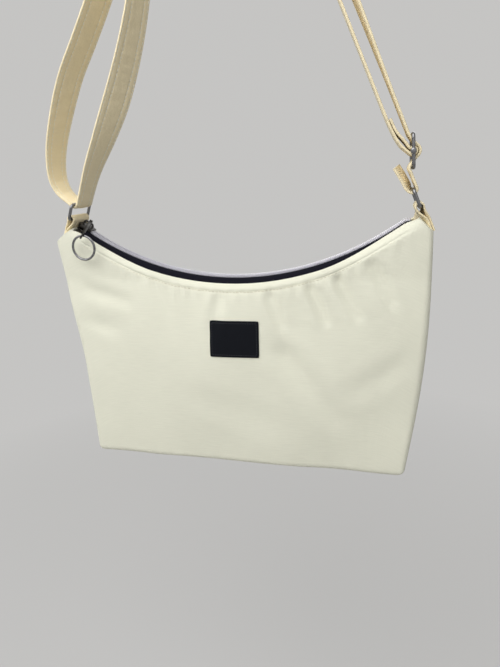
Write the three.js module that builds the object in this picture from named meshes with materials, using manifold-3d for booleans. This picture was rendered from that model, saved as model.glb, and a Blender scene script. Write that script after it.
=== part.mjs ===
// A small canvas crossbody bag that hangs by its own doubled strap.
// Millimetres, +Z up. The origin is the underside of the strap at its top bend, where a hand or a hook holds it.
// +X is the wearer's view of the front's right side, and -Y is the front.

import * as THREE from 'three';
import { mergeVertices } from 'three/addons/utils/BufferGeometryUtils.js';
import Module from 'manifold-3d';

const wasm = await Module();
wasm.setup();

// Driving dimensions: bag
const TOP_WIDTH = 310;
const BASE_WIDTH = 282;
const BASE_DEPTH = 62;
const TOP_DEPTH = 30;
const CORNER_HEIGHT = 201.5;
const NECK_HEIGHT = 165;
const SIDE_EDGE_RADIUS = 5;
const BASE_EDGE_RADIUS = 5;
const BELLY = 4;
const CLOTH = 2;
const LINING = 1;
const SEAM_GAP = 0.3;
const SHOULDER_SLOPE = THREE.MathUtils.degToRad(38);

// Driving dimensions: mouth and zip, where "rise" is height above the mouth's hem, square to the curve
const MOUTH_RADIUS = 241;
const MOUTH_END_INSET = 9.8;
const HEM_DEPTH = 8;
const ZIP_END_INSET = 12.2;
const TAPE_THICKNESS = 0.8;
const TAPE_RISE = 1.8;
const TAPE_INNER_EDGE = 1.8;
const TAPE_FLAT = 6.4;
const TAPE_TUCK = 2;
const COIL_HALF_WIDTH = 2.8;
const COIL_CORE_EDGE = 1;
const COIL_OVERLAP = 0.7;
const COIL_HEIGHT = 2.2;
const COIL_TOOTH_PITCH = 4.5;
const COIL_TOOTH_SHARE = 0.39;

// Driving dimensions: slider and pull
const SLIDER_INSET = 14.7;
const SLIDER_LENGTH = 13;
const SLIDER_WIDTH = 10.6;
const SLIDER_TAIL_WIDTH = 9;
const SLIDER_PLATE = 1;
const SLIDER_CLEARANCE = 0.4;
const FLANGE_INNER = 3.3;
const POST_WIDTH = 2.6;
const POST_LENGTH = 4.4;
const BAIL_SPAN = 10;
const BAIL_BAR = 1.6;
const BAIL_OPENING = 2.6;
const LINK_WIDTH = 2.6;
const LINK_EYE_WALL = 1;
const LINK_EYE_CLEARANCE = 0.4;
const LINK_FRONT_EYE_WIDTH = 1.2;
const LINK_REACH = 23;
const LINK_DROP = 5;
const LINK_SKEW = THREE.MathUtils.degToRad(20);
const LINK_SHIFT = 0.8;
const LINK_ARM = 1.4;
const PULL_RING_RADIUS = 10.3;
const PULL_RING_WIRE = 1;

// Driving dimensions: label
const LABEL_WIDTH = 43;
const LABEL_HEIGHT = 31;
const LABEL_CENTRE_HEIGHT = 115;
const LABEL_THICKNESS = 0.8;
const LABEL_CORNER = 1;

// Driving dimensions: tabs, rings and buckle
const WIRE = 1.3;
const WIRE_CLEARANCE = 0.4;
const RING_OPENING = 11;
const RING_CORNER = 3;
const HARDWARE_SIDE_CLEARANCE = 1;
const TAB_THICKNESS = 1.6;
const TAB_INSET = 5;
const TAB_LEAN = THREE.MathUtils.degToRad(22);
const TAB_RISE = 13;
const TAB_TAIL = 2.6;
const TAB_LOOSENESS = 0.8;
const BUCKLE_PITCH = 11.5;
const BUCKLE_TILT = THREE.MathUtils.degToRad(20);
const BUCKLE_RISE = 25;
const COLLAR_WALL = 0.5;
const COLLAR_LENGTH = 4.5;

// Driving dimensions: strap
const STRAP_WIDTH = 25;
const STRAP_THICKNESS = 2;
const STRAP_GAP = 0.3;
const HANG_HEIGHT = 531;
const SADDLE_RADIUS = 30;
const SADDLE_LAYER_GAP = 0.5;
const RUN_SPREAD = 10;
const SPLIT_SHARE = 0.767;
const END_FOLD_LENGTH = 30;
const END_FLAP_LENGTH = 20;
// The two left runs bow apart: share of the way up from the ring, and how far out of the straight line
const OUTER_BOW = [[0.03, 11], [0.065, 21], [0.13, 29.5], [0.216, 31], [0.32, 29], [0.42, 22], [0.53, 15], [0.8, 3.5]];
const INNER_BOW = [[0.1, -5], [0.18, -10], [0.28, -15.5], [0.42, -16.5], [0.53, -15], [0.78, -5]];

// Colours
const CREAM = new THREE.MeshStandardMaterial({ color: 0xd8d0c0, roughness: 0.9 });
const LINING_CLOTH = new THREE.MeshStandardMaterial({ color: 0xcfc8ba, roughness: 0.95 });
const BLACK_WEAVE = new THREE.MeshStandardMaterial({ color: 0x17181d, roughness: 0.85 });
const TAPE_BLACK = new THREE.MeshStandardMaterial({ color: 0x14161c, roughness: 0.9 });
const COIL_SILVER = new THREE.MeshStandardMaterial({ color: 0xb9b6c4, roughness: 0.4 });
const GUNMETAL = new THREE.MeshStandardMaterial({ color: 0x4a4a4c, roughness: 0.3, metalness: 1 });

// Values that follow from the driving dimensions
const MOUTH_END = TOP_WIDTH / 2 - MOUTH_END_INSET;
const MOUTH_CENTRE = shoulderHeight(MOUTH_END) + Math.sqrt(MOUTH_RADIUS ** 2 - MOUTH_END ** 2);
const ZIP_HALF_ANGLE = Math.asin((TOP_WIDTH / 2 - ZIP_END_INSET) / (MOUTH_RADIUS + TAPE_TUCK));
const SLIDER_REST = Math.asin((TOP_WIDTH / 2 - SLIDER_INSET) / MOUTH_RADIUS);
const BAG_TOP = CORNER_HEIGHT + 40;
const HALF_STRAP = STRAP_WIDTH / 2;
const HARDWARE_HALF = HALF_STRAP + HARDWARE_SIDE_CLEARANCE + WIRE;
const RING_PITCH = RING_OPENING + 2 * WIRE;
const COIL_BASE = TAPE_RISE + TAPE_THICKNESS + SEAM_GAP;
const COIL_TOP = COIL_BASE + COIL_HEIGHT;
const SLIDER_TOP = COIL_TOP + SEAM_GAP + SLIDER_PLATE;
const BAIL_BAR_RISE = SLIDER_TOP + BAIL_OPENING + BAIL_BAR / 2;
const CUT_SPAN = TOP_WIDTH + 2 * BASE_DEPTH;

// Solids and shapes

/** Turns a closed geometry into a solid that can be joined and cut. */
function solidOf(geometry) {
  const bare = geometry.clone();
  bare.deleteAttribute('normal');
  bare.deleteAttribute('uv');
  const merged = mergeVertices(bare, 1e-4);
  const vertProperties = new Float32Array(merged.attributes.position.array);
  const triVerts = new Uint32Array(merged.index.array);
  return new wasm.Manifold(new wasm.Mesh({ numProp: 3, vertProperties, triVerts }));
}

/** Turns a solid back into a geometry. */
function geometryOf(solid) {
  const mesh = solid.getMesh();
  const geometry = new THREE.BufferGeometry();
  geometry.setAttribute('position', new THREE.BufferAttribute(new Float32Array(mesh.vertProperties), 3));
  geometry.setIndex(new THREE.BufferAttribute(new Uint32Array(mesh.triVerts), 1));
  geometry.computeVertexNormals();
  return geometry;
}

function joined(geometries) {
  return geometries.map(solidOf).reduce((sum, solid) => sum.add(solid));
}

/** Extrudes an outline drawn in the XZ plane along Y, centred on the middle plane. */
function slabXZ(shape, depth, curveSegments = 12) {
  const geometry = new THREE.ExtrudeGeometry(shape, { depth, bevelEnabled: false, curveSegments });
  geometry.rotateX(Math.PI / 2);
  geometry.translate(0, depth / 2, 0);
  return geometry;
}

/** Extrudes an outline drawn in the YZ plane along X, centred. */
function slabYZ(shape, depth, curveSegments = 12) {
  const geometry = new THREE.ExtrudeGeometry(shape, { depth, bevelEnabled: false, curveSegments });
  geometry.rotateX(Math.PI / 2);
  geometry.rotateZ(Math.PI / 2);
  geometry.translate(-depth / 2, 0, 0);
  return geometry;
}

function polygon(points) {
  return new THREE.Shape(points.map(([x, y]) => new THREE.Vector2(x, y)));
}

/** Joins rings of points into one closed body, with flat ends or, when it loops, with none. */
function skinned(rings, loops = false) {
  const count = rings[0].length;
  const positions = rings.flat().flatMap((p) => [p.x, p.y, p.z]);
  const index = [];
  const bands = loops ? rings.length : rings.length - 1;
  for (let i = 0; i < bands; i += 1) {
    const low = i * count;
    const high = ((i + 1) % rings.length) * count;
    for (let j = 0; j < count; j += 1) {
      const next = (j + 1) % count;
      index.push(low + j, low + next, high + next, low + j, high + next, high + j);
    }
  }
  if (!loops) {
    for (const [ring, base, flip] of [[rings[0], 0, true], [rings.at(-1), (rings.length - 1) * count, false]]) {
      const middle = ring.reduce((sum, p) => sum.add(p), new THREE.Vector3()).divideScalar(count);
      const hub = positions.length / 3;
      positions.push(middle.x, middle.y, middle.z);
      for (let j = 0; j < count; j += 1) {
        const next = (j + 1) % count;
        index.push(...(flip ? [hub, base + next, base + j] : [hub, base + j, base + next]));
      }
    }
  }
  const geometry = new THREE.BufferGeometry();
  geometry.setAttribute('position', new THREE.Float32BufferAttribute(positions, 3));
  geometry.setIndex(index);
  geometry.computeVertexNormals();
  return geometry;
}

/** A rectangular ring of round wire in the YZ plane, with rounded corners. */
function wireRectangle(halfY, halfZ, corner, wire, cornerSteps = 4, sides = 8) {
  const stations = [];
  for (const [signY, signZ, start] of [[1, 1, 0], [-1, 1, 90], [-1, -1, 180], [1, -1, 270]]) {
    for (let i = 0; i <= cornerSteps; i += 1) {
      const angle = THREE.MathUtils.degToRad(start + (90 * i) / cornerSteps);
      stations.push({ angle, y: signY * (halfY - corner), z: signZ * (halfZ - corner) });
    }
  }
  const rings = stations.map(({ angle, y, z }) => {
    const ring = [];
    for (let j = 0; j < sides; j += 1) {
      const turn = (2 * Math.PI * j) / sides;
      const reach = corner + wire * Math.cos(turn);
      ring.push(new THREE.Vector3(wire * Math.sin(turn), y + reach * Math.cos(angle), z + reach * Math.sin(angle)));
    }
    return ring;
  });
  return skinned(rings.reverse(), true);
}

// Bag shell

/** Half width and half depth of the bag at a height above its base. */
function halfWidth(height) {
  return BASE_WIDTH / 2 + ((TOP_WIDTH - BASE_WIDTH) / 2) * (height / CORNER_HEIGHT);
}

function halfDepth(height) {
  const share = Math.min(height / NECK_HEIGHT, 1);
  return BASE_DEPTH / 2 + ((TOP_DEPTH - BASE_DEPTH) / 2) * share;
}

/** One level of the bag's form, drawn in by inset, with the front and back bellied out. */
function bagLevel(height, inset) {
  const faceSteps = 8;
  const cornerSteps = 4;
  const a = halfWidth(height) - inset;
  const b = halfDepth(height) - inset;
  const r = Math.max(SIDE_EDGE_RADIUS - inset, 1);
  const belly = BELLY * Math.sin(Math.PI * Math.min(height / NECK_HEIGHT, 1));
  const points = [];
  for (const side of [-1, 1]) {
    for (let i = 1; i < faceSteps; i += 1) {
      const x = -side * (a - r) * ((2 * i) / faceSteps - 1);
      const swell = belly * (1 - (x / (a - r)) ** 2);
      points.push([x, side * (b + swell)]);
    }
    for (let i = 0; i <= cornerSteps; i += 1) {
      const angle = (Math.PI / 2) * (i / cornerSteps);
      points.push([-side * (a - r + r * Math.sin(angle)), side * (b - r + r * Math.cos(angle))]);
    }
    for (let i = cornerSteps; i >= 0; i -= 1) {
      const angle = (Math.PI / 2) * (i / cornerSteps);
      points.push([-side * (a - r + r * Math.sin(angle)), -side * (b - r + r * Math.cos(angle))]);
    }
  }
  return points.map(([x, y]) => new THREE.Vector3(x, y, height));
}

/** The whole bag as a full form, drawn in by inset on every side and on the base. */
function bagForm(inset) {
  const edge = BASE_EDGE_RADIUS;
  const walls = [0.25, 0.5, 0.75, 1].map((share) => edge + (NECK_HEIGHT - edge) * share);
  const rings = [
    bagLevel(0, inset + edge * 0.7),
    bagLevel(edge * 0.3, inset + edge * 0.2),
    bagLevel(edge, inset),
    ...walls.map((height) => bagLevel(height, inset)),
    bagLevel(BAG_TOP, inset),
  ];
  rings.slice(0, 3).forEach((ring) => ring.forEach((p) => p.setZ(p.z + Math.max(inset, 0))));
  return solidOf(skinned(rings));
}

/** Height of the shoulder line, which falls from the end of the zip to the top corner. */
function shoulderHeight(x) {
  return CORNER_HEIGHT + (TOP_WIDTH / 2 - Math.abs(x)) * Math.tan(SHOULDER_SLOPE);
}

/** What lies above the shoulders, lowered by drop. */
function aboveShoulders(drop) {
  const outer = TOP_WIDTH / 2 + 30;
  const inner = TOP_WIDTH / 2 - 45;
  const cuts = [-1, 1].map((side) => slabXZ(polygon([
    [side * outer, shoulderHeight(outer) - drop],
    [side * inner, shoulderHeight(inner) - drop],
    [side * inner, BAG_TOP + 60],
    [side * outer, BAG_TOP + 60],
  ]), CUT_SPAN));
  return joined(cuts);
}

/** Everything inside the curve of the mouth, at a distance below its hem. */
function aboveMouth(drop) {
  const round = new THREE.CylinderGeometry(MOUTH_RADIUS + drop, MOUTH_RADIUS + drop, CUT_SPAN, 240);
  round.translate(0, 0, MOUTH_CENTRE);
  return solidOf(round);
}

/** The half of space in front of (-1) or behind (1) the side seams. */
function halfSpace(side) {
  const box = new THREE.BoxGeometry(2 * CUT_SPAN, CUT_SPAN, 2 * CUT_SPAN);
  box.translate(0, side * (CUT_SPAN / 2 + SEAM_GAP / 2), CORNER_HEIGHT / 2);
  return solidOf(box);
}

/** The slot that a tab's tail passes through in the shoulder seam. */
function tabSlot(side) {
  const half = TAB_THICKNESS + SEAM_GAP / 2 + SEAM_GAP;
  const slot = slabXZ(polygon([
    [-half, -TAB_TAIL - SEAM_GAP], [half, -TAB_TAIL - SEAM_GAP], [half, 2 * CLOTH], [-half, 2 * CLOTH],
  ]), STRAP_WIDTH + 2 * SEAM_GAP);
  slot.rotateY(-side * TAB_LEAN);
  slot.translate(side * TAB_X, 0, TAB_Z);
  return solidOf(slot);
}

// Where each tab leaves the shoulder, and the ring bars above it
const TAB_X = TOP_WIDTH / 2 - TAB_INSET;
const TAB_Z = shoulderHeight(TAB_X);
const RING_LOW = new THREE.Vector2(TAB_X - TAB_RISE * Math.sin(TAB_LEAN), TAB_Z + TAB_RISE * Math.cos(TAB_LEAN));
const RING_HIGH = new THREE.Vector2(
  RING_LOW.x - RING_PITCH * Math.sin(TAB_LEAN),
  RING_LOW.y + RING_PITCH * Math.cos(TAB_LEAN),
);

const outerShell = bagForm(0)
  .subtract(aboveShoulders(0))
  .subtract(bagForm(CLOTH).subtract(aboveShoulders(CLOTH / Math.cos(SHOULDER_SLOPE))))
  .subtract(aboveMouth(0))
  .subtract(tabSlot(-1))
  .subtract(tabSlot(1));
const liningShell = bagForm(CLOTH + SEAM_GAP)
  .subtract(bagForm(CLOTH + SEAM_GAP + LINING))
  .subtract(aboveShoulders(TAB_TAIL + 3 * CLOTH))
  .subtract(aboveMouth(TAPE_TUCK + 1));
const backShell = outerShell.intersect(halfSpace(1));

function frontPanel() {
  return geometryOf(outerShell.intersect(halfSpace(-1)));
}

/** The back panel stops at its topstitch line: the hem above it swings out when the mouth opens. */
function backPanel() {
  const hemZone = aboveMouth(HEM_DEPTH + SEAM_GAP).intersect(betweenZipEnds(SEAM_GAP));
  return geometryOf(backShell.subtract(hemZone));
}

function backHem() {
  return geometryOf(backShell.intersect(aboveMouth(HEM_DEPTH)).intersect(betweenZipEnds(0)));
}

/** The stretch of the bag between the two ends of the zip. */
function betweenZipEnds(spare) {
  const half = MOUTH_RADIUS * Math.sin(ZIP_HALF_ANGLE) - 1.5 * CLOTH + spare;
  const box = new THREE.BoxGeometry(2 * half, CUT_SPAN, 2 * CUT_SPAN);
  box.translate(0, 0, CORNER_HEIGHT);
  return solidOf(box);
}

function lining(side) {
  return geometryOf(liningShell.intersect(halfSpace(side)));
}

/** The label follows the cloth of the front: a thin skin cut to a rectangle with small round corners. */
function labelPatch() {
  const w = LABEL_WIDTH / 2 - LABEL_CORNER;
  const h = LABEL_HEIGHT / 2 - LABEL_CORNER;
  const outline = new THREE.Shape();
  outline.absarc(w, h, LABEL_CORNER, 0, Math.PI / 2);
  outline.absarc(-w, h, LABEL_CORNER, Math.PI / 2, Math.PI);
  outline.absarc(-w, -h, LABEL_CORNER, Math.PI, 1.5 * Math.PI);
  outline.absarc(w, -h, LABEL_CORNER, 1.5 * Math.PI, 2 * Math.PI);
  outline.closePath();
  const block = slabXZ(outline, CUT_SPAN / 2, 3);
  block.translate(0, -CUT_SPAN / 4, LABEL_CENTRE_HEIGHT);
  const skin = bagForm(-SEAM_GAP - LABEL_THICKNESS).subtract(bagForm(-SEAM_GAP));
  return geometryOf(skin.intersect(solidOf(block)));
}

// Zip: every piece of the chain turns about the centre of the mouth's curve

/** A point on the mouth's curve, at an angle from its lowest point and a rise above the hem. */
function mouthPoint(angle, y, rise) {
  const radius = MOUTH_RADIUS - rise;
  return new THREE.Vector3(radius * Math.sin(angle), y, MOUTH_CENTRE - radius * Math.cos(angle));
}

function zipTape(side) {
  const steps = 44;
  const edge = TOP_DEPTH / 2 - CLOTH - SEAM_GAP;
  const section = [
    [TAPE_INNER_EDGE, TAPE_RISE],
    [TAPE_FLAT, TAPE_RISE],
    [edge, -TAPE_TUCK],
    [edge, -TAPE_TUCK + 1.4 * TAPE_THICKNESS],
    [TAPE_FLAT, TAPE_RISE + TAPE_THICKNESS],
    [TAPE_INNER_EDGE, TAPE_RISE + TAPE_THICKNESS],
  ];
  const outline = side > 0 ? section : section.slice().reverse();
  const rings = [];
  for (let i = 0; i <= steps; i += 1) {
    const angle = ZIP_HALF_ANGLE * ((2 * i) / steps - 1);
    rings.push(outline.map(([y, rise]) => mouthPoint(angle, side * y, rise)));
  }
  return skinned(rings);
}

/** One row of the zip's coil: a core strip with a tooth at each pitch that reaches across the middle. */
function zipCoil(side) {
  const radius = MOUTH_RADIUS - COIL_TOP;
  const start = -SLIDER_REST + (SEAM_GAP - POST_LENGTH / 2 + POST_LENGTH) / radius;
  const end = ZIP_HALF_ANGLE;
  const teeth = Math.round(((end - start) * radius) / COIL_TOOTH_PITCH);
  const pitch = (end - start) / teeth;
  const shift = side > 0 ? 0.55 : 0.05;
  const angles = [start];
  for (let i = 0; i < teeth; i += 1) {
    angles.push(start + (i + shift) * pitch, start + (i + shift + COIL_TOOTH_SHARE) * pitch);
  }
  angles.push(end);
  const corner = (k, y, rise) => mouthPoint(angles[k], side * y, rise);
  const quads = [];
  const quad = (a, b, c, d) => quads.push(side > 0 ? [a, b, c, d] : [d, c, b, a]);
  const [out, core, tip, low, high] = [COIL_HALF_WIDTH, COIL_CORE_EDGE, -COIL_OVERLAP, COIL_BASE, COIL_TOP];
  for (let k = 0; k + 1 < angles.length; k += 1) {
    const n = k + 1;
    quad(corner(k, core, high), corner(n, core, high), corner(n, out, high), corner(k, out, high));
    quad(corner(k, out, low), corner(n, out, low), corner(n, core, low), corner(k, core, low));
    quad(corner(k, out, high), corner(n, out, high), corner(n, out, low), corner(k, out, low));
    if (k % 2 === 0) {
      quad(corner(k, core, low), corner(n, core, low), corner(n, core, high), corner(k, core, high));
      continue;
    }
    quad(corner(k, tip, high), corner(n, tip, high), corner(n, core, high), corner(k, core, high));
    quad(corner(k, core, low), corner(n, core, low), corner(n, tip, low), corner(k, tip, low));
    quad(corner(k, tip, low), corner(n, tip, low), corner(n, tip, high), corner(k, tip, high));
    quad(corner(k, core, low), corner(k, tip, low), corner(k, tip, high), corner(k, core, high));
    quad(corner(n, tip, low), corner(n, core, low), corner(n, core, high), corner(n, tip, high));
  }
  const last = angles.length - 1;
  quad(corner(0, out, low), corner(0, core, low), corner(0, core, high), corner(0, out, high));
  quad(corner(last, core, low), corner(last, out, low), corner(last, out, high), corner(last, core, high));
  const positions = quads.flatMap(([a, b, c, d]) => [a, b, c, a, c, d]).flatMap((p) => [p.x, p.y, p.z]);
  const geometry = new THREE.BufferGeometry();
  geometry.setAttribute('position', new THREE.Float32BufferAttribute(positions, 3));
  const merged = mergeVertices(geometry, 1e-4);
  merged.computeVertexNormals();
  return merged;
}

// Slider and pull, drawn at the lowest point of the curve: x runs along the zip and z is the rise above the hem

function sliderPlate(low, high, inner) {
  const long = SLIDER_LENGTH / 2;
  const outline = (sign) => polygon([
    [-long, sign * SLIDER_WIDTH * 0.36], [-long + 1.5, sign * SLIDER_WIDTH / 2], [0, sign * SLIDER_WIDTH / 2],
    [long, sign * SLIDER_TAIL_WIDTH / 2], [long, sign * inner], [-long, sign * inner],
  ]);
  const sides = [-1, 1].map((sign) => {
    const plate = new THREE.ExtrudeGeometry(outline(sign), { depth: high - low, bevelEnabled: false });
    plate.translate(0, 0, low);
    return plate;
  });
  return joined(sides);
}

function slider() {
  const bottom = sliderPlate(TAPE_RISE - SLIDER_CLEARANCE - SLIDER_PLATE, TAPE_RISE - SLIDER_CLEARANCE, 0);
  const top = sliderPlate(COIL_TOP + SEAM_GAP, SLIDER_TOP, 0);
  const flanges = sliderPlate(TAPE_RISE + TAPE_THICKNESS + SLIDER_CLEARANCE, SLIDER_TOP, FLANGE_INNER);
  const postLow = TAPE_RISE - SLIDER_CLEARANCE - SLIDER_PLATE / 2;
  const postHigh = SLIDER_TOP - SLIDER_PLATE / 2;
  const wedge = polygon([
    [-SLIDER_LENGTH / 2 + 1, -POST_WIDTH / 2], [-POST_LENGTH / 2, -POST_WIDTH / 2], [POST_LENGTH / 2, 0],
    [-POST_LENGTH / 2, POST_WIDTH / 2], [-SLIDER_LENGTH / 2 + 1, POST_WIDTH / 2],
  ]);
  const post = new THREE.ExtrudeGeometry(wedge, { depth: postHigh - postLow, bevelEnabled: false });
  post.translate(0, 0, postLow);
  const half = BAIL_SPAN / 2;
  const crown = BAIL_BAR_RISE + BAIL_BAR / 2;
  const foot = SLIDER_TOP - SLIDER_PLATE / 2;
  const arch = polygon([
    [-half, foot], [-half + BAIL_BAR, foot], [-half + BAIL_BAR, crown - BAIL_BAR], [half - BAIL_BAR, crown - BAIL_BAR],
    [half - BAIL_BAR, foot], [half, foot], [half, crown - BAIL_BAR], [half - BAIL_BAR, crown],
    [-half + BAIL_BAR, crown], [-half, crown - BAIL_BAR],
  ]);
  const bail = slabXZ(arch, BAIL_BAR);
  return geometryOf(bottom.add(top).add(flanges).add(solidOf(post)).add(solidOf(bail)));
}

// The link hangs skewed on its bail, so its eyes are wide enough for the bar and the ring at that angle
const SKEWED_BAR = BAIL_BAR / 2 / Math.cos(LINK_SKEW) + (LINK_WIDTH / 2) * Math.tan(LINK_SKEW);
const REAR_EYE_INNER = Math.hypot(SKEWED_BAR, BAIL_BAR / 2) + LINK_EYE_CLEARANCE;
const FRONT_EYE_INNER = PULL_RING_WIRE / (Math.cos(SLIDER_REST) * Math.cos(LINK_SKEW)) + 2 * LINK_EYE_CLEARANCE;
const FRONT_EYE = new THREE.Vector2(-LINK_REACH, BAIL_BAR_RISE - LINK_DROP);

function eye(centre, inner, wall, width) {
  const outline = new THREE.Shape().absarc(centre.x, centre.y, inner + wall, 0, 2 * Math.PI);
  outline.holes.push(new THREE.Path().absarc(centre.x, centre.y, inner, 0, 2 * Math.PI, true));
  return slabYZ(outline, width, 9);
}

/** The pull link: an eye round the bail, an arm bent over the zip's front edge, and an eye for the ring. */
function pullLink() {
  const rear = new THREE.Vector2(0, BAIL_BAR_RISE);
  const rearEdge = REAR_EYE_INNER + LINK_EYE_WALL / 2;
  const frontEdge = FRONT_EYE_INNER + LINK_EYE_WALL / 2;
  const path = splinePoints([
    [rear.x - rearEdge * 0.8, rear.y + rearEdge * 0.6],
    [rear.x - LINK_REACH * 0.45, rear.y + rearEdge * 0.4],
    [rear.x - LINK_REACH * 0.85, rear.y - LINK_DROP * 0.3],
    [FRONT_EYE.x + frontEdge * 0.2, FRONT_EYE.y + frontEdge],
  ], 10);
  const arm = slabYZ(ribbonOutline(path, LINK_ARM), LINK_WIDTH);
  const eyes = [
    eye(rear, REAR_EYE_INNER, LINK_EYE_WALL, LINK_WIDTH),
    eye(FRONT_EYE, FRONT_EYE_INNER, LINK_EYE_WALL, LINK_FRONT_EYE_WIDTH),
  ];
  const link = geometryOf(joined([arm, ...eyes]));
  link.rotateZ(LINK_SKEW);
  link.translate(LINK_SHIFT, 0, 0);
  return link;
}

function pullRing() {
  const ring = new THREE.TorusGeometry(PULL_RING_RADIUS, PULL_RING_WIRE, 8, 32);
  ring.rotateX(Math.PI / 2);
  ring.translate(0, 0, -PULL_RING_RADIUS);
  return ring;
}

// Ribbons of canvas, drawn as a middle line in the XZ plane

/** A smooth line through points, as [x, z] pairs. */
function splinePoints(points, stepsEach) {
  const curve = new THREE.CatmullRomCurve3(points.map(([x, z]) => new THREE.Vector3(x, 0, z)), false, 'centripetal');
  return curve.getPoints(stepsEach * (points.length - 1)).map((p) => [p.x, p.z]);
}

function arcPoints(centre, radius, from, to, steps) {
  const points = [];
  for (let i = 0; i <= steps; i += 1) {
    const angle = from + ((to - from) * i) / steps;
    points.push([centre.x + radius * Math.cos(angle), centre.y + radius * Math.sin(angle)]);
  }
  return points;
}

/** The outline of a ribbon of one thickness along a middle line. */
function ribbonOutline(line, thickness) {
  const left = [];
  const right = [];
  line.forEach(([x, z], i) => {
    const [px, pz] = line[Math.max(i - 1, 0)];
    const [nx, nz] = line[Math.min(i + 1, line.length - 1)];
    const length = Math.hypot(nx - px, nz - pz);
    const across = [(-(nz - pz) / length) * (thickness / 2), ((nx - px) / length) * (thickness / 2)];
    left.push([x + across[0], z + across[1]]);
    right.unshift([x - across[0], z - across[1]]);
  });
  return polygon([...left, ...right]);
}

function strapRibbon(line) {
  return slabXZ(ribbonOutline(line, STRAP_THICKNESS), STRAP_WIDTH);
}

// Strap route. The saddle is the bend over what holds the strap, with its centre below the origin.
const BAG_DROP = -HANG_HEIGHT;
const SADDLE = new THREE.Vector2(0, -SADDLE_RADIUS);
const INNER_SADDLE = SADDLE_RADIUS + STRAP_THICKNESS / 2;
const OUTER_SADDLE = INNER_SADDLE + STRAP_THICKNESS + SADDLE_LAYER_GAP;
const LOOP_RADIUS = WIRE + WIRE_CLEARANCE + STRAP_THICKNESS / 2;
const RIGHT_BAR = new THREE.Vector2(RING_HIGH.x, RING_HIGH.y + BAG_DROP);
const LEFT_BAR = new THREE.Vector2(-RING_HIGH.x, RING_HIGH.y + BAG_DROP);

// In the buckle, "along" runs up the strap and "out" points away from the loop, both from the centre bar
const BAR_OFFSET = WIRE + STRAP_GAP + STRAP_THICKNESS / 2 + 0.2;
const WEAVE_RADIUS = WIRE + 2 * STRAP_GAP + 1.5 * STRAP_THICKNESS;
const CENTRE_LOOP = WIRE + STRAP_GAP + STRAP_THICKNESS / 2;
const TILT = { cos: Math.cos(BUCKLE_TILT), sin: Math.sin(BUCKLE_TILT) };
const tilted = ([f, g]) => [f * TILT.cos - g * TILT.sin, f * TILT.sin + g * TILT.cos];
const [WEAVE_TOP, OUTER_OUT] = tilted([BUCKLE_PITCH, -BAR_OFFSET]);
const [WEAVE_LOW, BELOW_OUT] = tilted([-BUCKLE_PITCH, -BAR_OFFSET]);
const INNER_OUT = OUTER_OUT - RUN_SPREAD;
const RING_BAR_OUT = BELOW_OUT - LOOP_RADIUS;
const LEAD = 3;

/** Lean from upright of the line that touches the saddle and passes a point at a distance inside it. */
function leanTo(bar, inside, saddle) {
  const x = Math.abs(bar.x);
  const z = SADDLE.y - bar.y;
  return Math.acos((saddle - inside) / Math.hypot(x, z)) - Math.atan2(z, x);
}

const RIGHT_LEAN = leanTo(RIGHT_BAR, OUTER_OUT - RING_BAR_OUT, OUTER_SADDLE);
const ALONG = new THREE.Vector2(-Math.sin(RIGHT_LEAN), Math.cos(RIGHT_LEAN));
const OUT = new THREE.Vector2(Math.cos(RIGHT_LEAN), Math.sin(RIGHT_LEAN));
const BUCKLE_BAR = RIGHT_BAR.clone().addScaledVector(ALONG, BUCKLE_RISE).addScaledVector(OUT, -RING_BAR_OUT);
const atBuckle = ([along, out]) => [
  BUCKLE_BAR.x + along * ALONG.x + out * OUT.x,
  BUCKLE_BAR.y + along * ALONG.y + out * OUT.y,
];
const RIGHT_RUN = SADDLE.clone().sub(BUCKLE_BAR).dot(ALONG);
const SPLIT = SPLIT_SHARE * RIGHT_RUN;

/** End A: sewn round the right ring, with its flap on the inner side. */
function strapEndA() {
  const bar = new THREE.Vector2(-BUCKLE_RISE, RING_BAR_OUT);
  const turn = arcPoints(bar, LOOP_RADIUS, Math.PI / 2, 1.5 * Math.PI, 10);
  const flapOut = RING_BAR_OUT - LOOP_RADIUS;
  return strapRibbon([
    [WEAVE_LOW - LEAD - STRAP_GAP, BELOW_OUT],
    [(WEAVE_LOW - LEAD - BUCKLE_RISE) / 2, BELOW_OUT],
    ...turn,
    ...splinePoints([
      [-BUCKLE_RISE + END_FLAP_LENGTH * 0.25, flapOut],
      [-BUCKLE_RISE + END_FLAP_LENGTH * 0.6, flapOut - 0.4 * STRAP_THICKNESS],
      [-BUCKLE_RISE + END_FLAP_LENGTH, flapOut - 1.1 * STRAP_THICKNESS],
    ], 3),
  ].map(atBuckle));
}

/** The stretch woven through the buckle: behind both end bars and over the centre bar. */
function strapWeave() {
  const over = [150, 120, 90, 60, 30].map((degrees) => {
    const angle = THREE.MathUtils.degToRad(degrees);
    return tilted([WEAVE_RADIUS * Math.cos(angle), WEAVE_RADIUS * Math.sin(angle)]);
  });
  const line = splinePoints([
    [WEAVE_LOW - LEAD, BELOW_OUT],
    [WEAVE_LOW, BELOW_OUT],
    ...over,
    [WEAVE_TOP, OUTER_OUT],
    [WEAVE_TOP + LEAD, OUTER_OUT],
  ], 4);
  return strapRibbon(line.map(atBuckle));
}

function strapRightOuter() {
  return strapRibbon([[WEAVE_TOP + LEAD + STRAP_GAP, OUTER_OUT], [SPLIT, OUTER_OUT]].map(atBuckle));
}

function strapRightInner() {
  return strapRibbon([[END_FOLD_LENGTH + LEAD + STRAP_GAP, INNER_OUT], [SPLIT, INNER_OUT]].map(atBuckle));
}

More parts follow.
